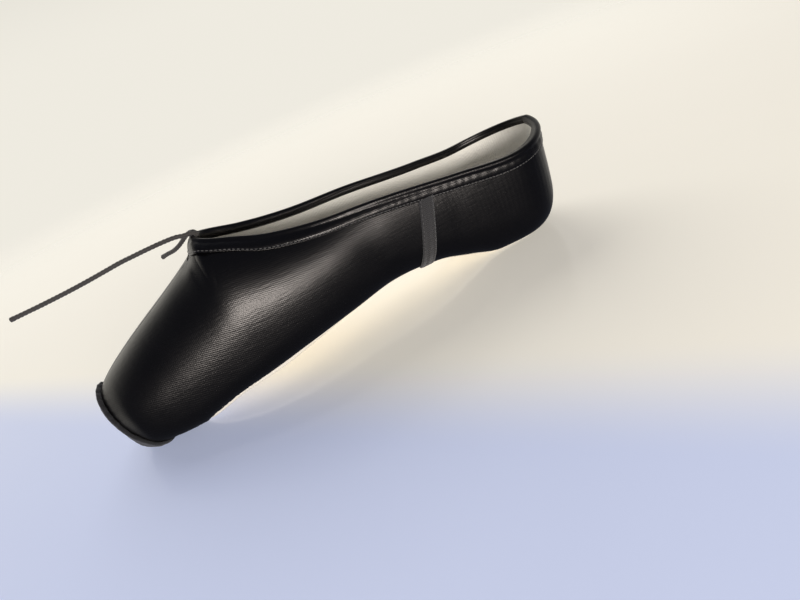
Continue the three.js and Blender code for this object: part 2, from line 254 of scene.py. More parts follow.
@dataclass(frozen=True)
class Satin:
    """Black satin: a fine slanted weave, with broad soft highlights."""

    name: str
    colour: tuple[float, float, float]
    glow: tuple[float, float, float]
    roughness: float
    gloss: float = 0.5
    weave: float = 0.00078
    relief: float = 0.00004

    def material(self) -> bpy.types.Material:
        """Make the material."""
        graph = Graph(self.name)
        at = graph.place()
        cloud = graph.noise(at, 0.018, 3.0)
        grain = graph.noise(at, 0.0007, 3.0)
        twill = graph.waves(at, self.weave, (0.72, 0.35, 0.6), 2.2)
        cross = graph.waves(at, self.weave * 0.9, (-0.5, 0.45, 0.74), 2.2)
        fibre = graph.noise(at, 0.0022, 2.0, (0.35, 1.0, 2.2))
        graph.set(
            Base_Color=graph.mix((cloud * 0.6 + grain * 0.4).clipped(), self.colour, self.glow),
            Roughness=cloud * 0.08 + grain * 0.1 + (self.roughness - 0.09),
            Specular_IOR_Level=self.gloss,
            Specular_Tint=(1.0, 0.95, 0.91),
        )
        fine = graph.bump(twill * 0.5 + cross * 0.2 + grain * 0.8, self.relief)
        graph.set(Normal=graph.bump(fibre, self.relief * 1.6, fine))
        return graph.material


@dataclass(frozen=True)
class Cotton:
    """Plain woven cotton with small slubs."""

    name: str
    colour: tuple[float, float, float]
    shade: tuple[float, float, float]
    pitch: float = 0.0007
    relief: float = 0.00012

    def material(self) -> bpy.types.Material:
        """Make the material."""
        graph = Graph(self.name)
        at = graph.place()
        cloud = graph.noise(at, 0.022, 3.0)
        warp = graph.waves(at, self.pitch, (1.0, 0.25, 0.1), 1.6)
        weft = graph.waves(at, self.pitch, (-0.05, 0.5, 0.86), 1.6)
        slub = graph.noise(at, 0.0024, 2.0, (0.3, 1.0, 1.0))
        tone = (cloud * 0.7 + slub * 0.3 + warp * 0.12).clipped()
        graph.set(
            Base_Color=graph.mix(tone, self.shade, self.colour),
            Roughness=0.86,
            Specular_IOR_Level=0.25,
            Sheen_Weight=0.12,
            Sheen_Roughness=0.6,
        )
        graph.set(Normal=graph.bump(warp * 0.5 + weft * 0.5 + slub * 0.6, self.relief))
        return graph.material


@dataclass(frozen=True)
class Suede:
    """Napped leather with a cloudy, brushed surface."""

    name: str
    colour: tuple[float, float, float]
    brushed: tuple[float, float, float]
    relief: float = 0.0003

    def material(self) -> bpy.types.Material:
        """Make the material."""
        graph = Graph(self.name)
        at = graph.place()
        cloud = graph.noise(at, 0.006, 4.0)
        nap = graph.noise(at, 0.0006, 3.0)
        streak = graph.noise(at, 0.002, 2.0, (1.0, 0.3, 1.0))
        graph.set(
            Base_Color=graph.mix((cloud * 0.6 + nap * 0.5).clipped(), self.colour, self.brushed),
            Roughness=0.95,
            Specular_IOR_Level=0.2,
            Sheen_Weight=0.25,
            Sheen_Roughness=0.5,
            Sheen_Tint=(0.7, 0.7, 0.72),
        )
        graph.set(Normal=graph.bump(nap * 0.8 + streak * 0.4, self.relief))
        return graph.material


@dataclass(frozen=True)
class Leather:
    """Undyed sole leather: pale, dry, with fine grain and rubbed patches."""

    name: str
    colour: tuple[float, float, float]
    rubbed: tuple[float, float, float]
    relief: float = 0.00014

    def material(self) -> bpy.types.Material:
        """Make the material."""
        graph = Graph(self.name)
        at = graph.place()
        cloud = graph.noise(at, 0.025, 4.0)
        grain = graph.node("ShaderNodeTexVoronoi", {"feature": "F1"}, {"Vector": at, "Scale": 1100.0})
        fibre = graph.noise(at, 0.004, 3.0, (0.35, 1.0, 1.0))
        tone = (cloud * 0.85 + fibre * 0.3).clipped()
        graph.set(
            Base_Color=graph.mix(tone, self.rubbed, self.colour),
            Roughness=cloud * 0.2 + 0.52,
            Specular_IOR_Level=0.35,
        )
        graph.set(Normal=graph.bump(grain * 0.6 + fibre * 0.6, self.relief))
        return graph.material


@dataclass(frozen=True)
class Tape:
    """Matte woven tape with a herringbone that follows the strip."""

    name: str
    colour: tuple[float, float, float]
    raised: tuple[float, float, float]
    relief: float = 0.00022
    bone: float = 1.7
    rib_pitch: float = 0.9

    def material(self) -> bpy.types.Material:
        """Make the material."""
        graph = Graph(self.name)
        at = graph.surface()
        parts = graph.node("ShaderNodeSeparateXYZ", {}, {0: at}, 0)
        across = Wire(graph, parts.socket.node.outputs[1])
        fold = graph.node("ShaderNodeMath", {"operation": "PINGPONG"}, {0: across, 1: self.bone})
        phase = (parts + fold) * (math.tau / self.rib_pitch)
        ribs = graph.node("ShaderNodeMath", {"operation": "SINE"}, {0: phase}) * 0.5 + 0.5
        nap = graph.noise(graph.place(), 0.0005, 2.0)
        tone = (ribs * 0.55 + nap * 0.45).clipped()
        graph.set(
            Base_Color=graph.mix(tone, self.colour, self.raised),
            Roughness=0.88,
            Specular_IOR_Level=0.25,
            Sheen_Weight=0.3,
            Sheen_Roughness=0.5,
            Sheen_Tint=(0.8, 0.8, 0.82),
        )
        graph.set(Normal=graph.bump(ribs * 0.7 + nap * 0.4, self.relief))
        return graph.material


@dataclass(frozen=True)
class Yarn:
    """Twisted cotton yarn of a cord or a stitch."""

    name: str
    colour: tuple[float, float, float]
    worn: tuple[float, float, float]
    roughness: float = 0.75

    def material(self) -> bpy.types.Material:
        """Make the material."""
        graph = Graph(self.name)
        at = graph.place()
        fuzz = graph.noise(at, 0.0006, 3.0)
        cloud = graph.noise(at, 0.008, 2.0)
        graph.set(
            Base_Color=graph.mix((fuzz * 0.6 + cloud * 0.4).clipped(), self.colour, self.worn),
            Roughness=self.roughness,
            Specular_IOR_Level=0.35,
            Sheen_Weight=0.2,
            Sheen_Roughness=0.5,
        )
        graph.set(Normal=graph.bump(fuzz, 0.00015))
        return graph.material


# The last


class TableCurve:
    """Smooth curve through the rows of a table that never overshoots them."""

    def __init__(self, at: Sequence[float], values: Sequence[float]) -> None:
        """Work out the tangents.

        Args:
            at: rising stations.
            values: one value for each.
        """
        self.at = np.asarray(at, float)
        self.values = np.asarray(values, float)
        self.step = np.diff(self.at)
        slope = np.diff(self.values) / self.step
        tangent = np.zeros_like(self.values)
        tangent[0], tangent[-1] = slope[0], slope[-1]
        for i in range(1, len(slope)):
            if slope[i - 1] * slope[i] > 0:
                before = 2 * self.step[i] + self.step[i - 1]
                after = self.step[i] + 2 * self.step[i - 1]
                tangent[i] = (before + after) / (before / slope[i - 1] + after / slope[i])
        self.tangent = tangent

    def __call__(self, where: Array | float) -> Array:
        """Values at stations."""
        s = np.clip(where, self.at[0], self.at[-1])
        i = np.clip(np.searchsorted(self.at, s, side="right") - 1, 0, len(self.step) - 1)
        h = self.step[i]
        t = (s - self.at[i]) / h
        start = self.values[i] * (1 + 2 * t) * (1 - t) ** 2 + h * self.tangent[i] * t * (1 - t) ** 2
        end = self.values[i + 1] * t * t * (3 - 2 * t) + h * self.tangent[i + 1] * t * t * (t - 1)
        return start + end


@dataclass(frozen=True)
class SectionRow:
    """One section of the last: half widths, heights and the wall's thickness at a station."""

    s: float
    half: float
    flat: float
    widest: float
    bottom: float
    crown: float
    wall: float


@dataclass(frozen=True)
class EdgeRow:
    """One row of a line along the shoe: a station and a value."""

    s: float
    value: float


SECTIONS = (
    SectionRow(0, 12.8, 9.6, 18.0, 6.6, 30.4, 3.0),
    SectionRow(4, 18.7, 11.6, 16.6, 4.1, 33.9, 3.0),
    SectionRow(10, 24.9, 14.4, 15.5, 2.5, 38.2, 3.0),
    SectionRow(20, 28.2, 16.2, 15.8, 2.5, 44.6, 3.0),
    SectionRow(30, 30.0, 17.6, 16.6, 2.5, 50.2, 3.0),
    SectionRow(37, 31.1, 18.4, 17.6, 4.6, 53.8, 3.0),
    SectionRow(52, 32.9, 20.5, 20.4, 8.6, 61.5, 2.8),
    SectionRow(58, 33.5, 21.2, 21.9, 9.3, 64.6, 2.7),
    SectionRow(65, 34.0, 21.8, 23.8, 10.0, 72.2, 2.6),
    SectionRow(85, 33.5, 20.4, 28.2, 12.1, 68.2, 2.2),
    SectionRow(108, 31.3, 17.7, 30.8, 14.2, 66.2, 2.0),
    SectionRow(136, 27.7, 15.1, 31.8, 16.5, 69.8, 2.0),
    SectionRow(160, 26.8, 14.8, 28.8, 13.5, 74.2, 2.0),
    SectionRow(176, 27.4, 15.6, 25.6, 8.2, 79.6, 2.0),
    SectionRow(193, 28.6, 17.2, 22.8, 2.9, 92.0, 2.0),
    SectionRow(208, 29.6, 18.4, 22.2, 2.5, 106.0, 2.0),
    SectionRow(238, 30.0, 18.4, 23.6, 2.5, 112.4, 2.0),
)
COLLAR = (
    EdgeRow(65, 72.2),
    EdgeRow(73, 69.4),
    EdgeRow(93, 62.9),
    EdgeRow(114, 58.9),
    EdgeRow(138, 56.4),
    EdgeRow(180, 50.2),
    EdgeRow(208, 47.0),
    EdgeRow(238, 52.0),
)
SOLE_OUTLINE = (
    EdgeRow(24, 17.4),
    EdgeRow(45, 22.4),
    EdgeRow(70, 24.4),
    EdgeRow(92, 21.4),
    EdgeRow(118, 15.4),
    EdgeRow(142, 12.4),
    EdgeRow(168, 12.4),
    EdgeRow(196, 14.6),
    EdgeRow(224, 15.0),
)
SOLE_THICKNESS = 2.5
SOLE_EDGE = (
    (0.35, 2.2),
    (0.08, 2.1),
    (0.0, 1.8),
    (0.05, 1.2),
    (0.3, 0.6),
    (0.75, 0.18),
    (1.3, 0.03),
    (2.2, 0.0),
)
SOCK_GAP = 0.3
SOCK_EDGE = ((1.4, 1.95), (0.6, 1.85), (0.15, 1.6), (0.0, 1.2), (0.0, 0.0))
BINDING_DEPTHS = (
    EdgeRow(65, 7.4),
    EdgeRow(90, 7.6),
    EdgeRow(125, 6.2),
    EdgeRow(238, 6.2),
)


class Last:
    """The shoe's form: a point is given by its station s, its place q round the section, and its side.

    q runs from 0 to 1 across the flat underneath, to 2 up to the widest line and to 3 at the crown.
    Stations below 0 lie on the flat of the toe, with -1 at its middle.
    """

    LENGTH = 238.0
    THROAT = 65.0
    HEEL_RADIUS = 30.0
    TOE_EDGE = 2.5
    UPPER_POWER = 2.2
    LOWER_POWER = 2.3
    HEEL_AXIS = LENGTH - HEEL_RADIUS
    TOE_AHEAD = 4.7
    BINDING_BEHIND = 0.4
    ON_AXIS = 2e-4
    S_STEP = 0.05
    Q_STEP = 0.004
    FRONT_GROWS = 12.0
    LEAN_ABOVE = 7.0
    LEAN_RISE = 26.0
    LEAN_FORWARD = 3.7
    LEAN_MOST = 1.2
    LEAN_LENGTH = 45.0
    HEEL_BACK = 1.5
    HEEL_MIDDLE = 25.0
    HEEL_FOOT = -0.7
    TOE_X = -(LENGTH + BINDING_BEHIND - TOE_AHEAD) / 2

    def __init__(self) -> None:
        """Make the curves through the tables."""
        stations = [row.s for row in SECTIONS]
        names = ("half", "flat", "widest", "bottom", "crown", "wall")
        columns = {name: [getattr(row, name) for row in SECTIONS] for name in names}
        self.curve = {name: TableCurve(stations, values) for name, values in columns.items()}
        self.collar = TableCurve([row.s for row in COLLAR], [row.value for row in COLLAR])
        self.binding = TableCurve([row.s for row in BINDING_DEPTHS], [row.value for row in BINDING_DEPTHS])

    def section(self, s: Array, grow: Array | float = 0.0) -> dict[str, Array]:
        """Sizes of the sections at stations, grown all round.

        Args:
            s: stations.
            grow: how far the sections stand off.

        Returns:
            Arrays by column name.
        """
        s = np.asarray(s, float)
        into = np.clip(self.TOE_EDGE - np.maximum(s, 0), 0, None)
        g = grow - (self.TOE_EDGE - np.sqrt(self.TOE_EDGE**2 - into**2))
        return {
            "half": self.curve["half"](s) + g,
            "flat": np.maximum(2, self.curve["flat"](s) + g),
            "widest": self.curve["widest"](s),
            "bottom": self.curve["bottom"](s) - g,
            "crown": self.curve["crown"](s) + g,
        }

    def q_at_height(self, s: Array, z: Array) -> Array:
        """Place round the section of a height above the widest line."""
        shape = self.section(s)
        rise = np.clip((z - shape["widest"]) / (shape["crown"] - shape["widest"]), 0, 1)
        return 2 + np.arcsin(rise ** (self.UPPER_POWER / 2)) / (math.pi / 2)

    def collar_q(self, s: Array) -> Array:
        """Place of the collar's edge, or of the crown in front of the throat."""
        s = np.asarray(s, float)
        return np.where(s <= self.THROAT, 3.0, self.q_at_height(s, self.collar(s)))

    def half_section(
        self,
        s: Array,
        q: Array,
        grow: Array | float = 0.0,
        hole: Array | float = 0.0,
    ) -> tuple[Array, Array]:
        """Distance from the middle plane and height of points of the section.

        Args:
            s: stations.
            q: places round the section.
            grow: how far the sections stand off.
            hole: half width at which the flat underneath begins.

        Returns:
            Arrays r and z.
        """
        shape = self.section(s, grow)
        low = np.clip(q - 1, 0, 1) * math.pi / 2
        high = np.clip(q - 2, 0, 1) * math.pi / 2
        flat = hole + (shape["flat"] - hole) * np.clip(q, 0, 1)
        side = (shape["half"] - shape["flat"]) * np.sin(low) ** (2 / self.LOWER_POWER)
        drop = (shape["widest"] - shape["bottom"]) * np.cos(low) ** (2 / self.LOWER_POWER)
        lower_z = shape["widest"] - drop
        upper_r = shape["half"] * np.clip(np.cos(high), 0, 1) ** (2 / self.UPPER_POWER)
        upper_z = (shape["crown"] - shape["widest"]) * np.sin(high) ** (2 / self.UPPER_POWER)
        r = np.where(q > 2, upper_r, flat + np.where(q > 1, side, 0))
        r = np.where(r < self.ON_AXIS, 0.0, r)
        z = np.where(q > 2, shape["widest"] + upper_z, np.where(q > 1, lower_z, shape["bottom"]))
        return r, z

    def lean(self, s: Array, z: Array) -> Array:
        """How far the toe leans forward, less how far the heel leans back, at stations and heights."""
        up = np.clip((z - self.LEAN_ABOVE) / self.LEAN_RISE, 0, self.LEAN_MOST)
        toe = self.LEAN_FORWARD * up * np.clip(1 - np.maximum(s, 0) / self.LEAN_LENGTH, 0, 1) ** 2
        heel = np.clip((s - self.HEEL_AXIS) / self.HEEL_RADIUS, 0, 1) ** 2
        back = np.clip((z - self.HEEL_MIDDLE) / self.LEAN_RISE, self.HEEL_FOOT, 1)
        return toe - self.HEEL_BACK * heel * back

    def point(
        self,
        s: Array,
        q: Array,
        side: float,
        grow: Array | float = 0.0,
        hole: Array | float = 0.0,
    ) -> Array:
        """Points of the form.

        Args:
            s: stations.
            q: places round the section.
            side: the side's sign.
            grow: how far the form stands off all round.
            hole: half width at which the flat underneath begins.

        Returns:
            Points in millimetres, as the last axis of an array.
        """
        s = np.asarray(s, float)
        r, z = self.half_section(s, q, grow, hole)
        middle = self.section(np.zeros_like(s), grow)["widest"]
        spread = np.clip(1 + s, 0, 1)
        r, z = r * spread, middle + (z - middle) * spread
        turn = np.clip((s - self.HEEL_AXIS) / self.HEEL_RADIUS, 0, 1) * math.pi / 2
        front = grow * np.clip(1 - np.maximum(s, 0) / self.FRONT_GROWS, 0, None) + self.lean(s, z)
        x = self.TOE_X + np.clip(s, 0, self.HEEL_AXIS) - front + r * np.sin(turn)
        return np.stack([x, side * r * np.cos(turn), z], axis=-1)

    def normal(self, s: Array, q: Array, side: float) -> Array:
        """Outward directions at points of the form.

        Args:
            s: stations.
            q: places round the section.
            side: the side's sign.

        Returns:
            Unit vectors, as the last axis of an array.
        """
        s, q = np.broadcast_arrays(np.asarray(s, float), np.asarray(q, float))
        ds, dq = self.S_STEP, self.Q_STEP
        q_mid = np.clip(q, dq * 2, 3 - dq * 2)
        s_mid = np.clip(s, -1 + 2 * ds, self.LENGTH - 2 * ds)
        along = self.point(s_mid + ds, q_mid, side) - self.point(s_mid - ds, q_mid, side)
        round_it = self.point(s_mid, q_mid + dq, side) - self.point(s_mid, q_mid - dq, side)
        out = np.cross(round_it, along) * side
        return out / np.maximum(np.linalg.norm(out, axis=-1, keepdims=True), 1e-12)

    def raised(self, s: Array, q: Array, side: float, height: Array | float) -> Array:
        """Points that stand off the form along its outward direction.

        Args:
            s: stations.
            q: places round the section.
            side: the side's sign.
            height: how far they stand off.

        Returns:
            Points in millimetres, as the last axis of an array.
        """
        s, q = np.broadcast_arrays(np.asarray(s, float), np.asarray(q, float))
        lift = np.broadcast_to(height, s.shape)[..., None]
        return self.point(s, q, side) + self.normal(s, q, side) * lift


# Meshes


class Sheaf:
    """Vertices and faces of one piece while it is put together, in millimetres."""

    def __init__(self) -> None:
        """Start empty."""
        self.vertices: list[Array] = []
        self.faces: list[Array] = []
        self.maps: list[Array] = []
        self.count = 0

    def grid(
        self,
        points: Array,
        wrap_rows: bool = False,
        wrap_columns: bool = False,
        flip: bool = False,
        along: Array | None = None,
    ) -> Array:
        """Add a grid of points with a quad between each four.

        Args:
            points: rows by columns by 3.
            wrap_rows: join the last row to the first.
            wrap_columns: join the last column to the first.
            flip: turn the faces over.
            along: the piece's own map, rows by columns by 2.

        Returns:
            The vertices' numbers, rows by columns.
        """
        rows, columns = points.shape[:2]
        index = np.arange(rows * columns).reshape(rows, columns) + self.count
        self.vertices.append(points.reshape(-1, 3))
        flat = np.zeros((rows * columns, 2)) if along is None else along.reshape(-1, 2)
        self.maps.append(flat)
        self.count += rows * columns
        self.join(index, wrap_rows, wrap_columns, flip)
        return index

    def join(
        self,
        index: Array,
        wrap_rows: bool = False,
        wrap_columns: bool = False,
        flip: bool = False,
    ) -> None:
        """Add the quads between rows and columns of vertex numbers."""
        if wrap_rows:
            index = np.vstack([index, index[:1]])
        if wrap_columns:
            index = np.hstack([index, index[:, :1]])
        corners = [index[:-1, :-1], index[1:, :-1], index[1:, 1:], index[:-1, 1:]]
        quads = np.stack(corners, axis=-1).reshape(-1, 4)
        self.faces.append(quads[:, ::-1] if flip else quads)

    def piece(self, name: str, finish: bpy.types.Material, merge: float = 0.002) -> bpy.types.Object:
        """Turn the sheaf into an object at the origin, smooth, with its doubles merged.

        Args:
            name: the piece's name.
            finish: its material.
            merge: distance within which vertices are one, in millimetres.

        Returns:
            The new object.
        """
        vertices = np.concatenate(self.vertices)
        faces = np.concatenate(self.faces)
        key = np.round(vertices / merge).astype(np.int64)
        _, first, number = np.unique(key, axis=0, return_index=True, return_inverse=True)
        number = number.reshape(-1)
        mesh = bpy.data.meshes.new(name)
        kept = []
        seen = set()
        for face in number[faces]:
            corners = [int(v) for i, v in enumerate(face) if v != face[i - 1]]
            if len(set(corners)) < 3 or len(set(corners)) != len(corners):
                continue
            sign = tuple(sorted(corners))
            if sign in seen:
                continue
            seen.add(sign)
            kept.append(corners)
        mesh.from_pydata((vertices[first] * MM).tolist(), [], kept)
        mesh.validate()
        layer = mesh.uv_layers.new(name="Along")
        flat = np.concatenate(self.maps)[first]
        corners = np.zeros(len(mesh.loops), dtype=np.int32)
        mesh.loops.foreach_get("vertex_index", corners)
        layer.data.foreach_set("uv", flat[corners].ravel())
        mesh.polygons.foreach_set("use_smooth", [True] * len(mesh.polygons))
        mesh.materials.append(finish)
        made = bpy.data.objects.new(name, mesh)
        bpy.context.scene.collection.objects.link(made)
        return made


def dress(piece: bpy.types.Object, nodes: Sequence[str] = ()) -> bpy.types.Object:
    """Ride a piece on the shoe and hide the solids that it stands for.

    Args:
        piece: the finished piece.
        nodes: the solids that it stands for.

    Returns:
        The same piece.
    """
    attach(piece, BODY)
    if nodes:
        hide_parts(*nodes)
    LOG.info("%s: %d faces", piece.name, len(piece.data.polygons))
    return piece


def smooth_step(low: float, high: float, x: Array) -> Array:
    """0 below `low`, 1 above `high`, smooth between; falls where low is above high."""
    t = np.clip((x - low) / (high - low), 0, 1)
    return t * t * (3 - 2 * t)


def soft_noise(p: Array, size: float, seed: float) -> Array:
    """Smooth wandering value between about -1 and 1 for points in millimetres."""
    x, y, z = p[..., 0], p[..., 1], p[..., 2]
    a = np.sin(x / size * 2.1 + seed) + np.sin(y / size * 2.7 + 1.7 * seed + 0.6)
    b = np.sin(z / size * 2.4 + 2.3 * seed) + np.sin((x + z) / size * 1.3 + 3.1 * seed)
    return (a + b + np.sin((x - y) / size * 1.7 + seed)) / 5


# The upper and its lining


Q_SPAN = 34.0


@dataclass(frozen=True)
class Crease:
    """A soft trough or ridge in the satin, between two places (station, q) on one side.

    Q_SPAN is about how many millimetres of surface one unit of q takes.
    """

    side: Side
    start: tuple[float, float]
    end: tuple[float, float]
    width: float
    depth: float


CREASES = (
    Crease(Side.NEAR, (150, 1.35), (120, 2.25), 5.0, -0.35),
    Crease(Side.NEAR, (138, 1.25), (104, 2.0), 6.0, -0.3),
    Crease(Side.NEAR, (176, 2.3), (166, 1.4), 5.0, -0.25),
    Crease(Side.NEAR, (92, 2.5), (60, 2.2), 12.0, 0.12),
    Crease(Side.NEAR, (196, 1.5), (216, 2.1), 6.0, -0.2),
    Crease(Side.FAR, (148, 1.3), (118, 2.2), 5.5, -0.35),
    Crease(Side.FAR, (132, 1.2), (98, 1.9), 6.0, -0.28),
    Crease(Side.FAR, (180, 2.25), (168, 1.5), 5.0, -0.22),
    Crease(Side.FAR, (88, 2.45), (58, 2.3), 12.0, 0.12),
)


@dataclass
class Upper:
    """Satin drawn over the box and quarters, and the cotton lining inside it."""

    last: Last
    satin_thickness: float = 0.9
    lining_thickness: float = 0.8
    hole_front: float = 30.0
    hole_margin: float = 6.0
    hole_round: float = 14.0
    pleat_pitch: float = 3.3
    pleat_depth: float = 0.55
    pucker_pitch: float = 2.3
    pucker_depth: float = 0.045
    pucker_fade: float = 2.6
    pleat_corner: float = 38.0
    pleat_round: float = 20.0
    ease_step: float = 3.0
    ease_reach: float = 8.5

    def hole(self, s: Array) -> Array:
        """Half width of the opening underneath."""
        into = np.clip((s - self.hole_front) / self.hole_round, 0, 1)
        return (self.last.curve["flat"](s) - self.hole_margin) * np.sqrt(1 - (1 - into) ** 2)

    def stations(self, density: float) -> Array:
        """Stations of the rows, closer together round the toe's edge, the throat and the heel.

        Args:
            density: rows per millimetre along the plain stretches.

        Returns:
            Rising stations from the middle of the toe's flat to the back of the heel.
        """
        last = self.last
        ease = 1 - np.cos(np.linspace(0, math.pi / 2, 9))
        throat = last.THROAT + 15 * np.linspace(0, 1, int(24 * density) + 6) ** 2
        return np.concatenate(
            [
                np.linspace(-1, 0, 7)[:-1],
                last.TOE_EDGE * ease[:-1],
                np.linspace(last.TOE_EDGE, last.THROAT, int(62 * density) + 4)[:-1],
                throat[:-1],
                np.linspace(last.THROAT + 15, last.HEEL_AXIS, int(128 * density) + 4)[:-1],
                np.linspace(last.HEEL_AXIS, last.LENGTH, int(44 * density) + 6),
            ]
        )

    def places(self, s: Array, flat: int, low: int, high: int) -> Array:
        """Places round each section, from the opening underneath up to the collar or the crown.

        Args:
            s: stations.
            flat: columns across the flat underneath.
            low: columns up to the widest line.
            high: columns above it.

        Returns:
            Rows by columns.
        """
        under = np.linspace(0, 1, flat + 1)[:-1]
        side = np.linspace(1, 2, low + 1)[:-1]
        top = 2 + np.linspace(0, 1, high + 1)[None] * (self.last.collar_q(s)[:, None] - 2)
        fixed = np.broadcast_to(np.concatenate([under, side]), (len(s), flat + low))
        return np.hstack([fixed, top])

    def relief(self, s: Array, q: Array, side: Side) -> Array:
        """How far the satin stands off the form: pleats at the toe, puckers and the listed creases.

        Args:
            s: stations.
            q: places round the section.
            side: the side.

        Returns:
            Height over the form, in millimetres.
        """
        where = self.last.point(s, q, side.value)
        height = soft_noise(where, 21.0, 0.4 if side is Side.NEAR else 2.1) * 0.12
        height = height * smooth_step(-0.2, 6, s)
        height = height + self.pleats(s, q, where) + self.eased(s, q, side)
        below = (self.last.collar_q(s) - q) * Q_SPAN - self.last.binding(s)
        pucker = np.sin(s * math.tau / self.pucker_pitch + 2.5 * soft_noise(where, 9.0, 1.3))
        patchy = 0.5 + 0.5 * soft_noise(where, 31.0, 2.9)
        fade = np.exp(-np.clip(below, 0, None) / self.pucker_fade)
        height = height + self.pucker_depth * pucker * patchy * fade * smooth_step(66, 80, s)
        for crease in CREASES:
            if crease.side is side:
                height = height + self.pressed(crease, s, q)
        return height

    def eased(self, s: Array, q: Array, side: Side) -> Array:
        """Evens out the form's steep rise in front of the throat, clear of the binding and the sole.

        Args:
            s: stations.
            q: places round the section.
            side: the side.

        Returns:
            Height over the form, in millimetres.
        """
        total, share = 0.0, 0.0
        for step in range(-4, 5):
            weight = math.exp(-((step * self.ease_step / self.ease_reach) ** 2))
            total = total + weight * self.last.point(s + step * self.ease_step, q, side.value)
            share += weight
        away = total / share - self.last.point(s, q, side.value)
        change = np.sum(away * self.last.normal(s, q, side.value), axis=-1)
        window = smooth_step(28, 42, s) * smooth_step(108, 92, s) * smooth_step(0.95, 1.5, q)
        clear = smooth_step(0.01, 0.25, self.last.collar_q(s) - q)
        return np.clip(change, -1.6, 1.2) * window * clear

    def pleats(self, s: Array, q: Array, where: Array) -> Array:
        """Gathered folds of the satin where it is drawn under the box, round the front of the sole.

        Args:
            s: stations.
            q: places round the section.
            where: the same places as points.

        Returns:
            Height over the form, in millimetres.
        """
        corner, bend = self.pleat_corner, self.pleat_round
        around = np.arctan2(np.abs(where[..., 1]), corner - s)
        run = np.where(s < corner, bend * around, bend * math.pi / 2 + (s - corner))
        uneven = 0.22 * np.sin(run * 0.9) + 0.15 * np.sin(run * 2.3 + where[..., 1] * 0.1)
        phase = run / self.pleat_pitch + uneven
        tooth = phase - np.floor(phase)
        fold = smooth_step(0, 0.72, tooth) * smooth_step(1.0, 0.86, tooth)
        front = smooth_step(15.5, 19.5, s + 6 * np.clip(q - 1, 0, 1))
        reach = smooth_step(1.62, 0.95, q) * smooth_step(74, 50, s) * front
        return (fold - 0.35) * self.pleat_depth * reach

    def pressed(self, crease: Crease, s: Array, q: Array) -> Array:
        """Height of one crease over the surface."""
        scale = np.array([1.0, Q_SPAN])
        start, end = np.array(crease.start) * scale, np.array(crease.end) * scale
        line = end - start
        at = np.stack([s, q * scale[1]], axis=-1) - start
        t = np.clip(at @ line / (line @ line), 0, 1)
        away = np.linalg.norm(at - t[..., None] * line, axis=-1)
        ends = smooth_step(-0.02, 0.3, t) * smooth_step(1.02, 0.6, t)
        return crease.depth * np.exp(-((away / crease.width) ** 2)) * ends

    def shell(
        self,
        name: str,
        finish: bpy.types.Material,
        density: float,
        columns: tuple[int, int, int],
        outer: Callable[[Array, Array, Side], Array],
        inner: Callable[[Array, Array, Side], Array],
    ) -> bpy.types.Object:
        """A closed skin round the foot, open at the collar and underneath.

        Args:
            name: the piece's name.
            finish: its material.
            density: rows per millimetre.
            columns: counts across the flat, up to the widest line and above it.
            outer: points of the outside for stations, places and a side.
            inner: points of the inside.

        Returns:
            The piece.
        """
        sheaf = Sheaf()
        s = self.stations(density)
        q = self.places(s, *columns)
        grid_s = np.broadcast_to(s[:, None], q.shape)
        for side in Side:
            there = outer(grid_s, q, side)
            back = inner(grid_s, q, side)[:, ::-1]
            sheaf.grid(np.concatenate([there, back], axis=1), wrap_columns=True, flip=side is Side.FAR)
        return sheaf.piece(name, finish)

    def satin(self, finish: bpy.types.Material) -> bpy.types.Object:
        """The satin outside."""

        def outer(s: Array, q: Array, side: Side) -> Array:
            """Outside of the satin, with its relief."""
            lift = self.relief(s, q, side)[..., None]
            form = self.last.point(s, q, side.value, 0.0, self.hole(s))
            return form + self.last.normal(s, q, side.value) * lift

        def inner(s: Array, q: Array, side: Side) -> Array:
            """Back of the satin."""
            return self.last.point(s, q, side.value, -self.satin_thickness, self.hole(s))

        return self.shell("satin_upper", finish, 1.25, (6, 26, 44), outer, inner)

    def lining(self, finish: bpy.types.Material) -> bpy.types.Object:
        """The cotton inside, with a little slack."""

        def outer(s: Array, q: Array, side: Side) -> Array:
            """Back of the lining."""
            wall = self.last.curve["wall"](s) - self.lining_thickness
            return self.last.point(s, q, side.value, -wall, self.hole(s))

        def inner(s: Array, q: Array, side: Side) -> Array:
            """Face of the lining."""
            where = self.last.point(s, q, side.value, -self.last.curve["wall"](s), self.hole(s))
            slack = 0.22 * soft_noise(where, 13.0, 3.3) * smooth_step(2, 12, s)
            return where + self.last.normal(s, q, side.value) * slack[..., None]

        return self.shell("cotton_lining", finish, 0.7, (3, 14, 22), outer, inner)


# The binding


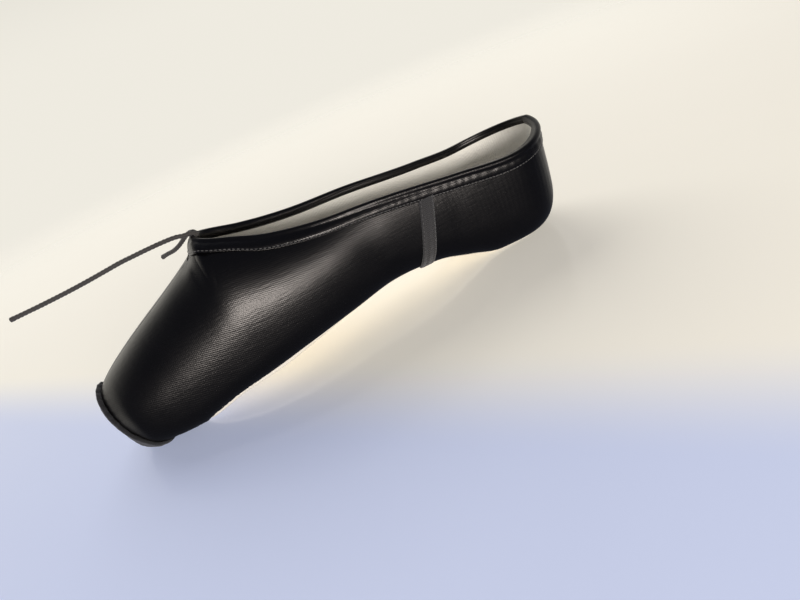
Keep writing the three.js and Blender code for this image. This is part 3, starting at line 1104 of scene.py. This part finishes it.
@dataclass
class CollarPath:
    """Steps round the collar, evenly spaced, and the way down the outside from its edge.

    A drop of 0 is the collar's edge and a drop of 1 the binding's lower edge.
    """

    last: Last
    count: int
    full_depth: float = 7.5
    strides: int = 24

    def __post_init__(self) -> None:
        """Space the steps evenly along the edge, then find the line at full depth."""
        last = self.last
        fine = last.THROAT + (last.LENGTH - last.THROAT) * np.linspace(0, 1, 4000) ** 2.5
        edge = last.point(fine, last.collar_q(fine), -1)
        run = np.concatenate([[0], np.cumsum(np.linalg.norm(np.diff(edge, axis=0), axis=1))])
        self.run = np.linspace(0, run[-1], self.count)
        self.edge_s = np.interp(self.run, run, fine)
        self.depth = last.binding(self.edge_s)
        self.edge_q = last.collar_q(self.edge_s)
        self.deep_s, self.deep_q = self.walk()

    def walk(self) -> tuple[Array, Array]:
        """Walk down the outside from each step, square to the edge, by the binding's depth there."""
        last = self.last
        s, q = self.edge_s.copy(), np.minimum(self.edge_q, 3 - 1e-3)
        edge = last.point(s, q, -1)
        edge[0, 1] = 0
        tangent = np.gradient(edge, axis=0)
        tangent[0] = (0, -1, 0)
        tangent /= np.linalg.norm(tangent, axis=1, keepdims=True)
        strides = self.strides
        ds, dq = last.S_STEP, last.Q_STEP
        for stride in range(strides):
            normal = last.normal(s, q, -1)
            down = np.cross(normal, tangent)
            down *= -np.sign(down[:, 2:3] + 1e-9)
            down /= np.linalg.norm(down, axis=1, keepdims=True)
            q_mid = np.clip(q, 2 * dq, 3 - 2 * dq)
            s_mid = np.minimum(s, last.LENGTH - 2 * ds)
            by_s = (last.point(s_mid + ds, q_mid, -1) - last.point(s_mid - ds, q_mid, -1)) / (2 * ds)
            by_q = (last.point(s_mid, q_mid + dq, -1) - last.point(s_mid, q_mid - dq, -1)) / (2 * dq)
            a, b, c = (by_s**2).sum(1), (by_s * by_q).sum(1), (by_q**2).sum(1)
            e, f = (down * by_s).sum(1), (down * by_q).sum(1)
            scale = self.depth / strides / (a * c - b * b)
            s = s + (e * c - f * b) * scale
            q = q + (f * a - e * b) * scale
            s[0], q[0] = self.edge_s[0] - self.depth[0] * (stride + 1) / strides, 3
        return s, np.minimum(q, 3)

    def at(self, drop: float) -> tuple[Array, Array]:
        """Stations and places at a drop, one for each step round the collar."""
        s = self.edge_s + (self.deep_s - self.edge_s) * drop
        q = self.edge_q + (self.deep_q - self.edge_q) * drop
        return s, q

    def points(self, depth: float, height: Array | float, side: float) -> Array:
        """Points at a depth and a height off the outside; a negative depth stands above the edge.

        Args:
            depth: millimetres below the edge at full depth, and in proportion elsewhere.
            height: millimetres off the outside.
            side: the side's sign.

        Returns:
            One point for each step.
        """
        if depth >= 0:
            s, q = self.at(depth / self.full_depth)
            return self.last.raised(s, q, side, height)
        s, q = self.at(0.0)
        s_down, q_down = self.at(0.06)
        up = self.last.point(s, q, side) - self.last.point(s_down, q_down, side)
        up = up / np.linalg.norm(up, axis=-1, keepdims=True)
        return self.last.raised(s, q, side, height) - up * depth


@dataclass
class Binding:
    """Satin casing folded over the collar's edge, stitched along its lower edge."""

    last: Last
    stitch_depth: float = 6.75
    count: int = 300
    stitch_pitch: float = 1.8
    join_width: float = 0.9
    outer_rows: int = 20
    inner_rows: tuple[int, int] = (21, 33)

    def __post_init__(self) -> None:
        """Lay out the path round the collar."""
        self.path = CollarPath(self.last, self.count)

    @staticmethod
    def profile() -> list[tuple[float, float]]:
        """Depth and height of the casing's section, from its lower edge outside, over the top, to inside."""
        inside = -0.2
        return [
            (7.5, 0.1),
            (7.56, 0.34),
            (7.46, 0.56),
            (7.25, 0.62),
            (7.0, 0.52),
            (6.75, 0.42),
            (6.5, 0.5),
            (6.2, 0.66),
            (5.6, 0.78),
            (4.8, 0.86),
            (3.9, 0.86),
            (3.1, 0.76),
            (2.5, 0.68),
            (2.0, 0.74),
            (1.5, 0.95),
            (0.9, 1.15),
            (0.3, 1.2),
            (-0.3, 1.05),
            (-0.75, 0.7),
            (-1.05, 0.15),
            (-1.12, -0.5),
            (-1.0, -1.15),
            (-0.75, inside + 0.3),
            (-0.3, inside - 0.35),
            (0.4, inside - 0.7),
            (1.2, inside - 0.75),
            (1.8, inside - 0.6),
            (2.4, inside - 0.55),
            (2.9, inside - 0.45),
            (3.1, inside - 0.2),
            (2.8, inside),
            (1.6, inside),
            (0.3, inside + 0.1),
            (-0.3, -1.1),
            (-0.3, -0.4),
            (0.2, 0.1),
            (4.0, 0.1),
        ]

    def casing(self, finish: bpy.types.Material) -> bpy.types.Object:
        """The folded casing all round the collar, slightly gathered, with its join at the throat."""
        sheaf = Sheaf()
        path = self.path
        wall = self.last.curve["wall"](path.edge_s)
        join = np.exp(-((path.run / self.join_width) ** 2))
        shoulder = np.exp(-(((path.run - 1.9) / 0.9) ** 2))
        rows = []
        inner = range(*self.inner_rows)
        for number, (depth, height) in enumerate(self.profile()):
            ring = []
            for side in Side:
                wander = 1.9 * np.sin(path.run * 0.21 + side.value)
                gather = 0.05 * np.sin(path.run * math.tau / 4.3 + wander)
                loose = gather * math.exp(-(((depth - 3.6) / 2.2) ** 2)) if height > 0.6 else 0.0
                lift = height + loose - (wall if number in inner else 0.0)
                if height > 0.3 and number < self.outer_rows:
                    lift = lift - 0.38 * join + 0.16 * shoulder
                points = path.points(depth, lift, side.value)
                ring.append(points if side is Side.NEAR else points[::-1][1:-1])
            rows.append(np.concatenate(ring))
        grid = np.stack(rows, axis=1)
        run = np.concatenate([path.run, 2 * path.run[-1] - path.run[::-1][1:-1]])
        along = np.stack(np.broadcast_arrays(run[:, None], np.arange(len(rows))[None] * 0.8), axis=-1)
        sheaf.grid(grid, wrap_rows=True, wrap_columns=True, along=along)
        return sheaf.piece("binding_casing", finish)

    def seam_line(self) -> list[Vector]:
        """Closed line of the stitches, just under the casing's face."""
        near = self.path.points(self.stitch_depth, 0.46, Side.NEAR.value)[1:]
        far = self.path.points(self.stitch_depth, 0.46, Side.FAR.value)[::-1][1:-1]
        return [Vector(p) for p in np.concatenate([near, far])]


# Repeated stitches


@dataclass(frozen=True)
class StitchRun:
    """Stitches along a line, made by Geometry Nodes and turned into a plain mesh."""

    name: str
    pitch: float
    length: float
    thickness: float

    def tree(self, finish: bpy.types.Material) -> bpy.types.NodeTree:
        """Node tree that sets a small rounded stitch at even steps along a curve."""
        group = bpy.data.node_groups.new(self.name, "GeometryNodeTree")
        face = group.interface
        face.new_socket("Geometry", in_out="INPUT", socket_type="NodeSocketGeometry")
        for label in ("Pitch", "Stitch length", "Stitch thickness"):
            face.new_socket(label, in_out="INPUT", socket_type="NodeSocketFloat")
        face.new_socket("Geometry", in_out="OUTPUT", socket_type="NodeSocketGeometry")
        nodes, links = group.nodes, group.links
        start, end = nodes.new("NodeGroupInput"), nodes.new("NodeGroupOutput")
        spaced = nodes.new("GeometryNodeResampleCurve")
        spaced.mode = "LENGTH"
        ball = nodes.new("GeometryNodeMeshUVSphere")
        ball.inputs["Segments"].default_value = 8
        ball.inputs["Rings"].default_value = 6
        ball.inputs["Radius"].default_value = 0.5
        tangent = nodes.new("GeometryNodeInputTangent")
        align = nodes.new("FunctionNodeAlignRotationToVector")
        align.axis = "Z"
        size = nodes.new("ShaderNodeCombineXYZ")
        place = nodes.new("GeometryNodeInstanceOnPoints")
        real = nodes.new("GeometryNodeRealizeInstances")
        paint = nodes.new("GeometryNodeSetMaterial")
        paint.inputs["Material"].default_value = finish
        links.new(start.outputs["Geometry"], spaced.inputs["Curve"])
        links.new(start.outputs["Pitch"], spaced.inputs["Length"])
        links.new(tangent.outputs["Tangent"], align.inputs["Vector"])
        links.new(start.outputs["Stitch thickness"], size.inputs["X"])
        links.new(start.outputs["Stitch thickness"], size.inputs["Y"])
        links.new(start.outputs["Stitch length"], size.inputs["Z"])
        links.new(spaced.outputs["Curve"], place.inputs["Points"])
        links.new(ball.outputs["Mesh"], place.inputs["Instance"])
        links.new(align.outputs["Rotation"], place.inputs["Rotation"])
        links.new(size.outputs["Vector"], place.inputs["Scale"])
        links.new(place.outputs["Instances"], real.inputs["Geometry"])
        links.new(real.outputs["Geometry"], paint.inputs["Geometry"])
        links.new(paint.outputs["Geometry"], end.inputs["Geometry"])
        return group

    def make(self, lines: Sequence[Sequence[Vector]], finish: bpy.types.Material) -> bpy.types.Object:
        """Run the stitches along lines.

        Args:
            lines: points of each line, in millimetres.
            finish: the thread's material.

        Returns:
            One plain mesh object.
        """
        curve = bpy.data.curves.new(self.name + "_line", "CURVE")
        curve.dimensions = "3D"
        for line in lines:
            spline = curve.splines.new("POLY")
            spline.points.add(len(line) - 1)
            for point, where in zip(spline.points, line):
                point.co = (*(where * MM), 1.0)
        carrier = bpy.data.objects.new(self.name + "_line", curve)
        bpy.context.scene.collection.objects.link(carrier)
        nodes = carrier.modifiers.new("Stitches", "NODES")
        nodes.node_group = self.tree(finish)
        sizes = {"Pitch": self.pitch, "Stitch length": self.length, "Stitch thickness": self.thickness}
        for item in nodes.node_group.interface.items_tree:
            if item.in_out == "INPUT" and item.name in sizes:
                nodes[item.identifier] = sizes[item.name] * MM
        graph = bpy.context.evaluated_depsgraph_get()
        mesh = bpy.data.meshes.new_from_object(carrier.evaluated_get(graph), depsgraph=graph)
        mesh.name = self.name
        mesh.polygons.foreach_set("use_smooth", [True] * len(mesh.polygons))
        made = bpy.data.objects.new(self.name, mesh)
        bpy.context.scene.collection.objects.link(made)
        bpy.data.objects.remove(carrier)
        return made


# Trims


@dataclass
class SideTape:
    """Raised woven tape over a side seam, from the binding down to the sole."""

    last: Last
    side: Side
    width: float = 7.4
    layer: float = 0.8
    top_s: float = 164.1
    top_z: float = 47.6
    foot_s: float = 151.5
    foot_z: float = 17.6
    seam_top: float = 56.0

    def centre(self, t: Array) -> tuple[Array, Array]:
        """Stations and heights down the strip's middle, from 0 at the top to 1 at the foot."""
        z = self.top_z + (self.foot_z - self.top_z) * t
        s = self.foot_s + (self.top_s - self.foot_s) * (z - self.foot_z) / (self.seam_top - self.foot_z)
        return s, z

    def q_at(self, s: Array, z: Array) -> Array:
        """Place round the section of any height on its side."""
        shape = self.last.section(s)
        fall = np.clip((shape["widest"] - z) / (shape["widest"] - shape["bottom"]), 0, 1)
        low = 1 + np.arccos(np.clip(fall ** (self.last.LOWER_POWER / 2), 0, 1)) / (math.pi / 2)
        return np.where(z > shape["widest"], self.last.q_at_height(s, z), low)

    def strip(self, finish: bpy.types.Material) -> bpy.types.Object:
        """The tape as a closed strip with soft edges."""
        t = np.linspace(0, 1, 90)
        across = np.concatenate([[-1.0], np.linspace(-0.97, 0.97, 17), [1.0]])
        s_mid, z_mid = self.centre(t)
        s = s_mid[:, None] + across[None] * self.width / 2
        z = np.broadcast_to(z_mid[:, None], s.shape)
        q = self.q_at(s, z)
        edge = np.abs(across)
        crown = 0.3 + self.layer * (1 - edge**10) ** 0.5 - 0.12 * np.exp(-(((edge - 0.8) / 0.07) ** 2))
        wave = 0.05 * np.sin(t * 160)[:, None] * (1 - edge**2)[None]
        top = self.last.raised(s, q, self.side.value, crown[None] + wave)
        low = self.last.raised(s, q, self.side.value, 0.12)
        loop = np.concatenate([top, low[:, ::-1]], axis=1)
        along = np.zeros((*loop.shape[:2], 2))
        along[..., 0] = t[:, None] * (self.top_z - self.foot_z)
        along[..., 1] = np.concatenate([across, across[::-1]])[None] * self.width / 2
        sheaf = Sheaf()
        index = sheaf.grid(loop, wrap_columns=True, flip=self.side is Side.NEAR, along=along)
        half = loop.shape[1] // 2
        for row, flip in ((0, True), (-1, False)):
            rim = np.stack([index[row, :half], index[row, ::-1][:half]])
            sheaf.join(rim, flip=flip is (self.side is Side.NEAR))
        return sheaf.piece(f"side_seam_tape_{self.side.name.lower()}", finish)

    def seam_lines(self) -> list[list[Vector]]:
        """Stitch lines near both edges."""
        t = np.linspace(0.02, 0.98, 60)
        s_mid, z = self.centre(t)
        lines = []
        for offset in (-0.8, 0.8):
            s = s_mid + offset * self.width / 2
            points = self.last.raised(s, self.q_at(s, z), self.side.value, 0.3 + self.layer - 0.14)
            lines.append([Vector(p) for p in points])
        return lines


@dataclass
class ToeTip:
    """Suede over the flat of the toe, round its edge and back under the lower corner."""

    last: Last
    layer: float = 1.2
    gap: float = 0.3

    def reach(self, q: Array) -> Array:
        """How far back the suede goes at each place round the toe."""
        under = 15.8 - 1.2 * smooth_step(0.4, 1.0, q)
        return 1.5 + (under - 1.5) * smooth_step(1.95, 1.15, q) + 0.5 * smooth_step(2.2, 1.8, q)

    def cap(self, finish: bpy.types.Material) -> bpy.types.Object:
        """The suede as one closed piece with a rough, slightly frayed edge."""
        stretches = [np.linspace(0, 1, 14)[:-1], np.linspace(1, 2, 30)[:-1], np.linspace(2, 3, 34)]
        round_it = np.concatenate(stretches)
        disc = -1 + np.linspace(0, 1, 15)[:-1]
        wrap = np.linspace(0, 1, 22) ** 1.4
        sheaf = Sheaf()
        for side in Side:
            uneven = 0.16 * np.sin(round_it * 37 + side.value) + 0.1 * np.sin(round_it * 91)
            far = self.reach(round_it) + uneven
            flat = np.broadcast_to(disc[:, None], (len(disc), len(far)))
            s = np.vstack([flat, wrap[:, None] * far[None]])
            q = np.broadcast_to(round_it[None], s.shape)
            face = self.last.point(s, q, side.value)
            rough = 0.13 * soft_noise(face, 1.1, 0.7) + 0.1 * soft_noise(face, 2.6, 1.9)
            rough = rough * smooth_step(0.0, 0.12, 3 - q) * smooth_step(0.0, 0.12, q)
            t = np.clip(s / np.maximum(far[None], 1e-6), 0, 1)
            low_side = smooth_step(1.8, 1.3, q)
            taper = smooth_step(0.9, 1.0, t) * 0.4 + low_side * smooth_step(0.3, 1.0, t) * 0.45
            lift = self.gap + (self.layer + rough) * (1 - taper)
            top = self.last.point(s, q, side.value, lift)
            low = self.last.point(s, q, side.value, np.full_like(s, 0.12))
            sheaf.grid(np.concatenate([top, low[::-1]], axis=0), flip=side is Side.FAR)
        return sheaf.piece("suede_tip", finish)


@dataclass
class Layer:
    """A thin layer that follows the bottom of the last, with rounded ends and soft edges."""

    last: Last
    half: TableCurve
    front: float
    front_round: float
    back: float
    back_round: float

    def width(self, s: Array) -> Array:
        """Half width at stations."""
        from_front = np.clip((s - self.front) / self.front_round, 0, 1)
        from_back = np.clip((self.back - s) / self.back_round, 0, 1)
        return self.half(s) * np.sqrt(1 - (1 - from_front) ** 2) * np.sqrt(1 - (1 - from_back) ** 2)

    def piece(
        self,
        name: str,
        finish: bpy.types.Material,
        profile: Sequence[tuple[float, float]],
        height: Callable[[Array], Array],
        crown: float,
    ) -> bpy.types.Object:
        """Build the layer.

        Args:
            name: the piece's name.
            finish: its material.
            profile: how far in from the outline and how high over `height` each ring of the edge lies,
                from the top to the underside.
            height: height of the layer's underside at stations.
            crown: how much the middle of the underside is hollowed.

        Returns:
            The piece.
        """
        count = 150
        turn = np.linspace(0, math.pi, count)
        s_line = (self.front + self.back) / 2 - (self.back - self.front) / 2 * np.cos(turn)
        half = self.width(s_line)
        rings = []
        for inset, lift in profile:
            shrink = np.clip(1 - inset / np.maximum(half, 1e-6), 0, 1)
            middle = (self.front + self.back) / 2
            s = middle + (s_line - middle) * (1 - inset * 2 / (self.back - self.front))
            width = np.maximum(self.width(s) - inset, 0) * np.where((half > 0) & (shrink > 0), 1, 0)
            z = height(s) + lift
            near = np.stack([self.last.TOE_X + s, -width, z], axis=-1)
            far = np.stack([self.last.TOE_X + s, width, z], axis=-1)[::-1][1:-1]
            rings.append(np.concatenate([near, far]))
        sheaf = Sheaf()
        sheaf.grid(np.stack(rings, axis=1), wrap_rows=True)
        for column, lift, flip in ((0, profile[0][1], True), (-1, profile[-1][1], False)):
            inset = profile[column][0]
            middle = (self.front + self.back) / 2
            s = middle + (s_line - middle) * (1 - inset * 2 / (self.back - self.front))
            width = np.maximum(self.width(s) - inset, 0)
            across = np.linspace(-1, 1, 13)
            bow = crown * (1 - across**2)[None] * (1 if column == -1 else 0)
            z = height(s)[:, None] + lift + bow * np.minimum(1, width[:, None] / 8)
            grid = np.stack(
                [
                    np.broadcast_to(self.last.TOE_X + s[:, None], z.shape),
                    across[None] * width[:, None],
                    z,
                ],
                axis=-1,
            )
            sheaf.grid(grid, flip=flip)
        return sheaf.piece(name, finish)


# The drawstring


@dataclass(frozen=True)
class StringEnd:
    """One free end of the cotton drawstring: its route, and the two plies that twist round it."""

    name: str
    node: str
    route: tuple[tuple[float, float, float], ...]
    radius: float = 1.0
    twist: float = 3.4
    sides: int = 20

    def line(self) -> Array:
        """Points of the smooth centreline, in millimetres."""
        points = np.array(self.route)
        padded = np.vstack([2 * points[0] - points[1], points, 2 * points[-1] - points[-2]])
        made = []
        for i in range(len(points) - 1):
            a, b, c, d = padded[i : i + 4]
            for t in np.linspace(0, 1, 24, endpoint=False):
                bend, twist = 2 * a - 5 * b + 4 * c - d, 3 * b - a - 3 * c + d
                made.append((2 * b + (c - a) * t + bend * t**2 + twist * t**3) / 2)
        made.append(points[-1])
        return np.array(made)

    def tube(self, finish: bpy.types.Material) -> bpy.types.Object:
        """The twisted cord as a closed tube, with a cut end whose plies open a little."""
        line = self.line()
        run = np.concatenate([[0], np.cumsum(np.linalg.norm(np.diff(line, axis=0), axis=1))])
        even = np.arange(0, run[-1], 0.28)
        line = np.stack([np.interp(even, run, line[:, k]) for k in range(3)], axis=-1)
        ahead = np.gradient(line, axis=0)
        ahead /= np.linalg.norm(ahead, axis=1, keepdims=True)
        side = np.cross(ahead, [0, 0, 1])
        side /= np.linalg.norm(side, axis=1, keepdims=True)
        up = np.cross(side, ahead)
        turn = np.linspace(0, math.tau, self.sides, endpoint=False)
        phase = turn[None] - even[:, None] * math.tau / self.twist
        ply = 0.8 + 0.2 * np.abs(np.cos(phase)) ** 0.8
        left = even[-1] - even
        open_end = 1 + 0.16 * np.exp(-left / 1.6)[:, None]
        fray = 1 + 0.05 * np.sin(turn * 7)[None] * np.exp(-left / 1.2)[:, None]
        r = self.radius * ply * open_end * fray
        rings = line[:, None] + r[..., None] * (
            np.cos(turn)[None, :, None] * side[:, None] + np.sin(turn)[None, :, None] * up[:, None]
        )
        sheaf = Sheaf()
        for ring, centre in ((0, line[0]), (-1, line[-1])):
            hub = np.broadcast_to(centre + ahead[ring] * (-0.1 if ring == 0 else 0.2), rings[ring].shape)
            pair = np.stack([hub, rings[ring]]) if ring == 0 else np.stack([rings[ring], hub])
            sheaf.grid(pair, wrap_columns=True)
        sheaf.grid(rings, wrap_columns=True)
        return sheaf.piece(self.name, finish)

    def declare(self, piece: bpy.types.Object) -> None:
        """Takes no step: nothing is said about the piece."""


LONG_END = (
    (-49.3, -0.7, 72.6),
    (-51.0, -0.8, 74.3),
    (-54.8, -0.8, 75.0),
    (-58.0, -0.7, 75.8),
    (-62.3, -0.6, 76.2),
    (-68.9, -0.4, 76.4),
    (-75.5, -0.2, 76.4),
    (-82.1, 0.2, 76.3),
    (-88.9, 0.6, 75.8),
    (-95.7, 1.1, 75.3),
    (-102.3, 1.7, 74.9),
    (-108.8, 2.4, 74.6),
    (-117.3, 3.1, 74.4),
    (-124.7, 3.9, 74.3),
    (-129.9, 4.7, 74.2),
)
SHORT_END = (
    (-49.1, 1.3, 72.6),
    (-51.0, 2.6, 74.2),
    (-53.6, 5.0, 73.6),
    (-56.6, 7.8, 71.6),
    (-59.6, 10.6, 69.6),
    (-62.9, 14.2, 67.9),
    (-66.4, 18.1, 66.9),
    (-69.5, 22.0, 65.8),
)


# The room


@dataclass(frozen=True)
class Studio:
    """Pale floor and backdrop, soft lights, and the camera at the photo's angle."""

    camera_at: tuple[float, float, float] = (-35.55, -236.87, 122.54)
    turned: float = -13.424
    raised: float = 27.524
    rolled: float = -23.558
    lens: float = 23.46
    floor: tuple[float, float, float] = (0.53, 0.58, 0.76)
    wall: tuple[float, float, float] = (0.82, 0.78, 0.69)
    border: tuple[float, float, float] = (0.73, 0.68, 0.0)
    border_from: float = -0.085
    border_to: float = -0.035
    floor_fades: float = 0.45
    floor_ends: float = 1.3
    glow: float = 0.4
    floor_z: float = -0.02
    window_at: tuple[float, float, float] = (-130, -1300, 280)
    window_aim: tuple[float, float, float] = (-20, 0, 35)
    window_size: tuple[float, float] = (1000, 190)
    window_watts: float = 17.0
    window_tint: tuple[float, float, float] = (1.0, 0.95, 0.91)
    sun_strength: float = 2.1
    sun_angle: float = 60.0
    sun_way: tuple[float, float, float] = (0.14, -0.84, -0.52)
    sun_tint: tuple[float, float, float] = (1.0, 0.985, 0.95)
    dim: tuple[float, float, float] = (0.06, 0.065, 0.085)
    bright: tuple[float, float, float] = (0.86, 0.83, 0.75)

    def camera(self) -> None:
        """Set the camera."""
        made = bpy.data.cameras.new("photo_camera")
        made.lens = self.lens
        made.sensor_width = 36.0
        made.clip_start = 0.01
        made.clip_end = 20.0
        holder = bpy.data.objects.new("photo_camera", made)
        bpy.context.scene.collection.objects.link(holder)
        a, e = math.radians(self.turned), math.radians(self.raised)
        forward = Vector((-math.sin(a) * math.cos(e), math.cos(a) * math.cos(e), -math.sin(e)))
        level = forward.to_track_quat("-Z", "Y").to_matrix()
        turn = level @ Matrix.Rotation(math.radians(self.rolled), 3, "Z")
        holder.matrix_world = Matrix.Translation(Vector(self.camera_at) * MM) @ turn.to_4x4()
        bpy.context.scene.camera = holder

    def backdrop(self) -> None:
        """A wide floor, lavender in front of the shoe and cream behind it, with a soft border between."""
        turn = np.linspace(0, math.tau, 96, endpoint=False)
        rings = np.array([0.0, 150.0, 400.0, 1000.0, 2500.0, 6000.0])
        x, y = np.cos(turn)[None] * rings[:, None], np.sin(turn)[None] * rings[:, None]
        grid = np.stack(np.broadcast_arrays(x, y, self.floor_z), -1)
        sheaf = Sheaf()
        sheaf.grid(grid, wrap_columns=True)
        graph = Graph("pale_floor")
        at = graph.place()
        rise = graph.between(graph.dot(at, self.border), self.border_from, self.border_to)
        colour = graph.mix(rise, self.floor, self.wall)
        far = graph.node("ShaderNodeVectorMath", {"operation": "LENGTH"}, {0: at}, "Value")
        solid = graph.between(far, self.floor_ends, self.floor_fades)
        graph.set(Base_Color=colour, Emission_Color=colour, Emission_Strength=self.glow, Alpha=solid)
        graph.set(Roughness=0.14, Specular_IOR_Level=0.5, IOR=1.5)
        made = sheaf.piece("floor", graph.material)
        made.visible_glossy = False

    def light(
        self,
        name: str,
        at: Sequence[float],
        aim: Sequence[float],
        size: Sequence[float],
        power: float,
        tint: Sequence[float],
    ) -> None:
        """Add a soft rectangular light.

        Args:
            name: the light's name.
            at: its place in millimetres.
            aim: the point that it faces, in millimetres.
            size: its width and height in millimetres.
            power: watts.
            tint: its colour.
        """
        made = bpy.data.lights.new(name, "AREA")
        made.shape = "RECTANGLE"
        made.size, made.size_y = size[0] * MM, size[1] * MM
        made.energy = power
        made.color = tint
        holder = bpy.data.objects.new(name, made)
        holder.location = Vector(at) * MM
        holder.rotation_mode = "QUATERNION"
        holder.rotation_quaternion = (Vector(aim) - Vector(at)).to_track_quat("-Z", "Y")
        bpy.context.scene.collection.objects.link(holder)

    def sky(self) -> None:
        """Bright room behind the shoe, dim above and in front."""
        graph = Graph("room", world=True)
        at = graph.node("ShaderNodeTexCoord", {}, {}, "Generated")
        parts = graph.node("ShaderNodeSeparateXYZ", {}, {0: at}, 1)
        height = Wire(graph, parts.socket.node.outputs[2])
        behind = graph.between(parts, -0.2, 0.8)
        low = graph.between(height, 0.75, 0.1)
        under = graph.between(height, -0.55, -0.28)
        graph.set(Color=graph.mix(behind * low * under, self.dim, self.bright))
        bpy.context.scene.world = graph.material

    def lights(self) -> None:
        """A low window in front, and high soft daylight from behind."""
        at, aim, size = self.window_at, self.window_aim, self.window_size
        self.light("window", at, aim, size, self.window_watts, self.window_tint)
        sun = bpy.data.lights.new("daylight", "SUN")
        sun.energy = self.sun_strength
        sun.angle = math.radians(self.sun_angle)
        sun.color = self.sun_tint
        holder = bpy.data.objects.new("daylight", sun)
        holder.rotation_mode = "QUATERNION"
        holder.rotation_quaternion = Vector(self.sun_way).to_track_quat("-Z", "Y")
        holder.visible_glossy = False
        bpy.context.scene.collection.objects.link(holder)
        self.sky()
        bpy.context.scene.view_settings.view_transform = "Standard"


def main() -> None:
    """Build the shoe piece by piece, then the room."""
    logging.basicConfig(level=logging.INFO, format="%(name)s: %(message)s")
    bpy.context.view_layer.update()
    studio = Studio()
    studio.camera()
    last = Last()

    black, sheen = (0.0011, 0.0011, 0.0016), (0.0022, 0.0021, 0.0028)
    satin = Satin("black_satin", black, sheen, roughness=0.31).material()
    folded = Satin("binding_satin", black, sheen, roughness=0.3).material()
    cotton = Cotton("lining_cotton", (0.9, 0.88, 0.82), (0.78, 0.75, 0.67)).material()
    board = Cotton("sock_cotton", (0.8, 0.76, 0.67), (0.64, 0.59, 0.5), pitch=0.0009).material()
    leather = Leather("sole_leather", (0.86, 0.82, 0.73), (0.66, 0.58, 0.46)).material()
    suede = Suede("tip_suede", (0.011, 0.011, 0.012), (0.04, 0.04, 0.042)).material()
    tape = Tape("seam_tape", (0.01, 0.01, 0.011), (0.06, 0.058, 0.058)).material()
    string = Yarn("drawstring_cotton", (0.022, 0.02, 0.019), (0.075, 0.068, 0.062)).material()
    thread = Yarn("thread", (0.045, 0.043, 0.043), (0.16, 0.155, 0.15), roughness=0.45).material()

    upper = Upper(last)
    dress(upper.satin(satin), ["upper"])
    dress(upper.lining(cotton), ["upper"])

    binding = Binding(last)
    dress(binding.casing(folded), ["binding"])
    seam = StitchRun("binding_stitches", pitch=binding.stitch_pitch, length=1.3, thickness=0.4)
    dress(seam.make([binding.seam_line()], thread))

    lines = []
    for side, node in ((Side.NEAR, "side_tape_near"), (Side.FAR, "side_tape_far")):
        strip = SideTape(last, side)
        dress(strip.strip(tape), [node])
        lines += strip.seam_lines()
    tape_seams = StitchRun("tape_stitches", pitch=1.9, length=1.1, thickness=0.26)
    dress(tape_seams.make(lines, thread))

    dress(ToeTip(last).cap(suede), ["toe_tip"])

    outline = TableCurve([row.s for row in SOLE_OUTLINE], [row.value for row in SOLE_OUTLINE])
    sole = Layer(last, outline, front=24, front_round=13, back=224, back_round=14.5)

    def sole_underside(s: Array) -> Array:
        """Height of the leather's underside."""
        return last.curve["bottom"](s) - SOLE_THICKNESS

    dress(sole.piece("leather_sole", leather, SOLE_EDGE, sole_underside, 0.12), ["outsole"])

    inner = TableCurve([row.s for row in SECTIONS], [row.flat - row.wall + 0.6 for row in SECTIONS])
    sock = Layer(last, inner, front=14, front_round=8, back=226, back_round=19)

    def sock_underside(s: Array) -> Array:
        """Height of the board's underside, just over the upper's inside."""
        return last.curve["bottom"](s) + last.curve["wall"](s) + SOCK_GAP

    dress(sock.piece("sock_board", board, SOCK_EDGE, sock_underside, 0.0), ["insole"])

    for end in (
        StringEnd("drawstring_long_end", "drawstring_long", LONG_END),
        StringEnd("drawstring_short_end", "drawstring_short", SHORT_END),
    ):
        piece = dress(end.tube(string), [end.node])
        end.declare(piece)

    studio.backdrop()
    studio.lights()


if __name__ == "__main__":
    main()
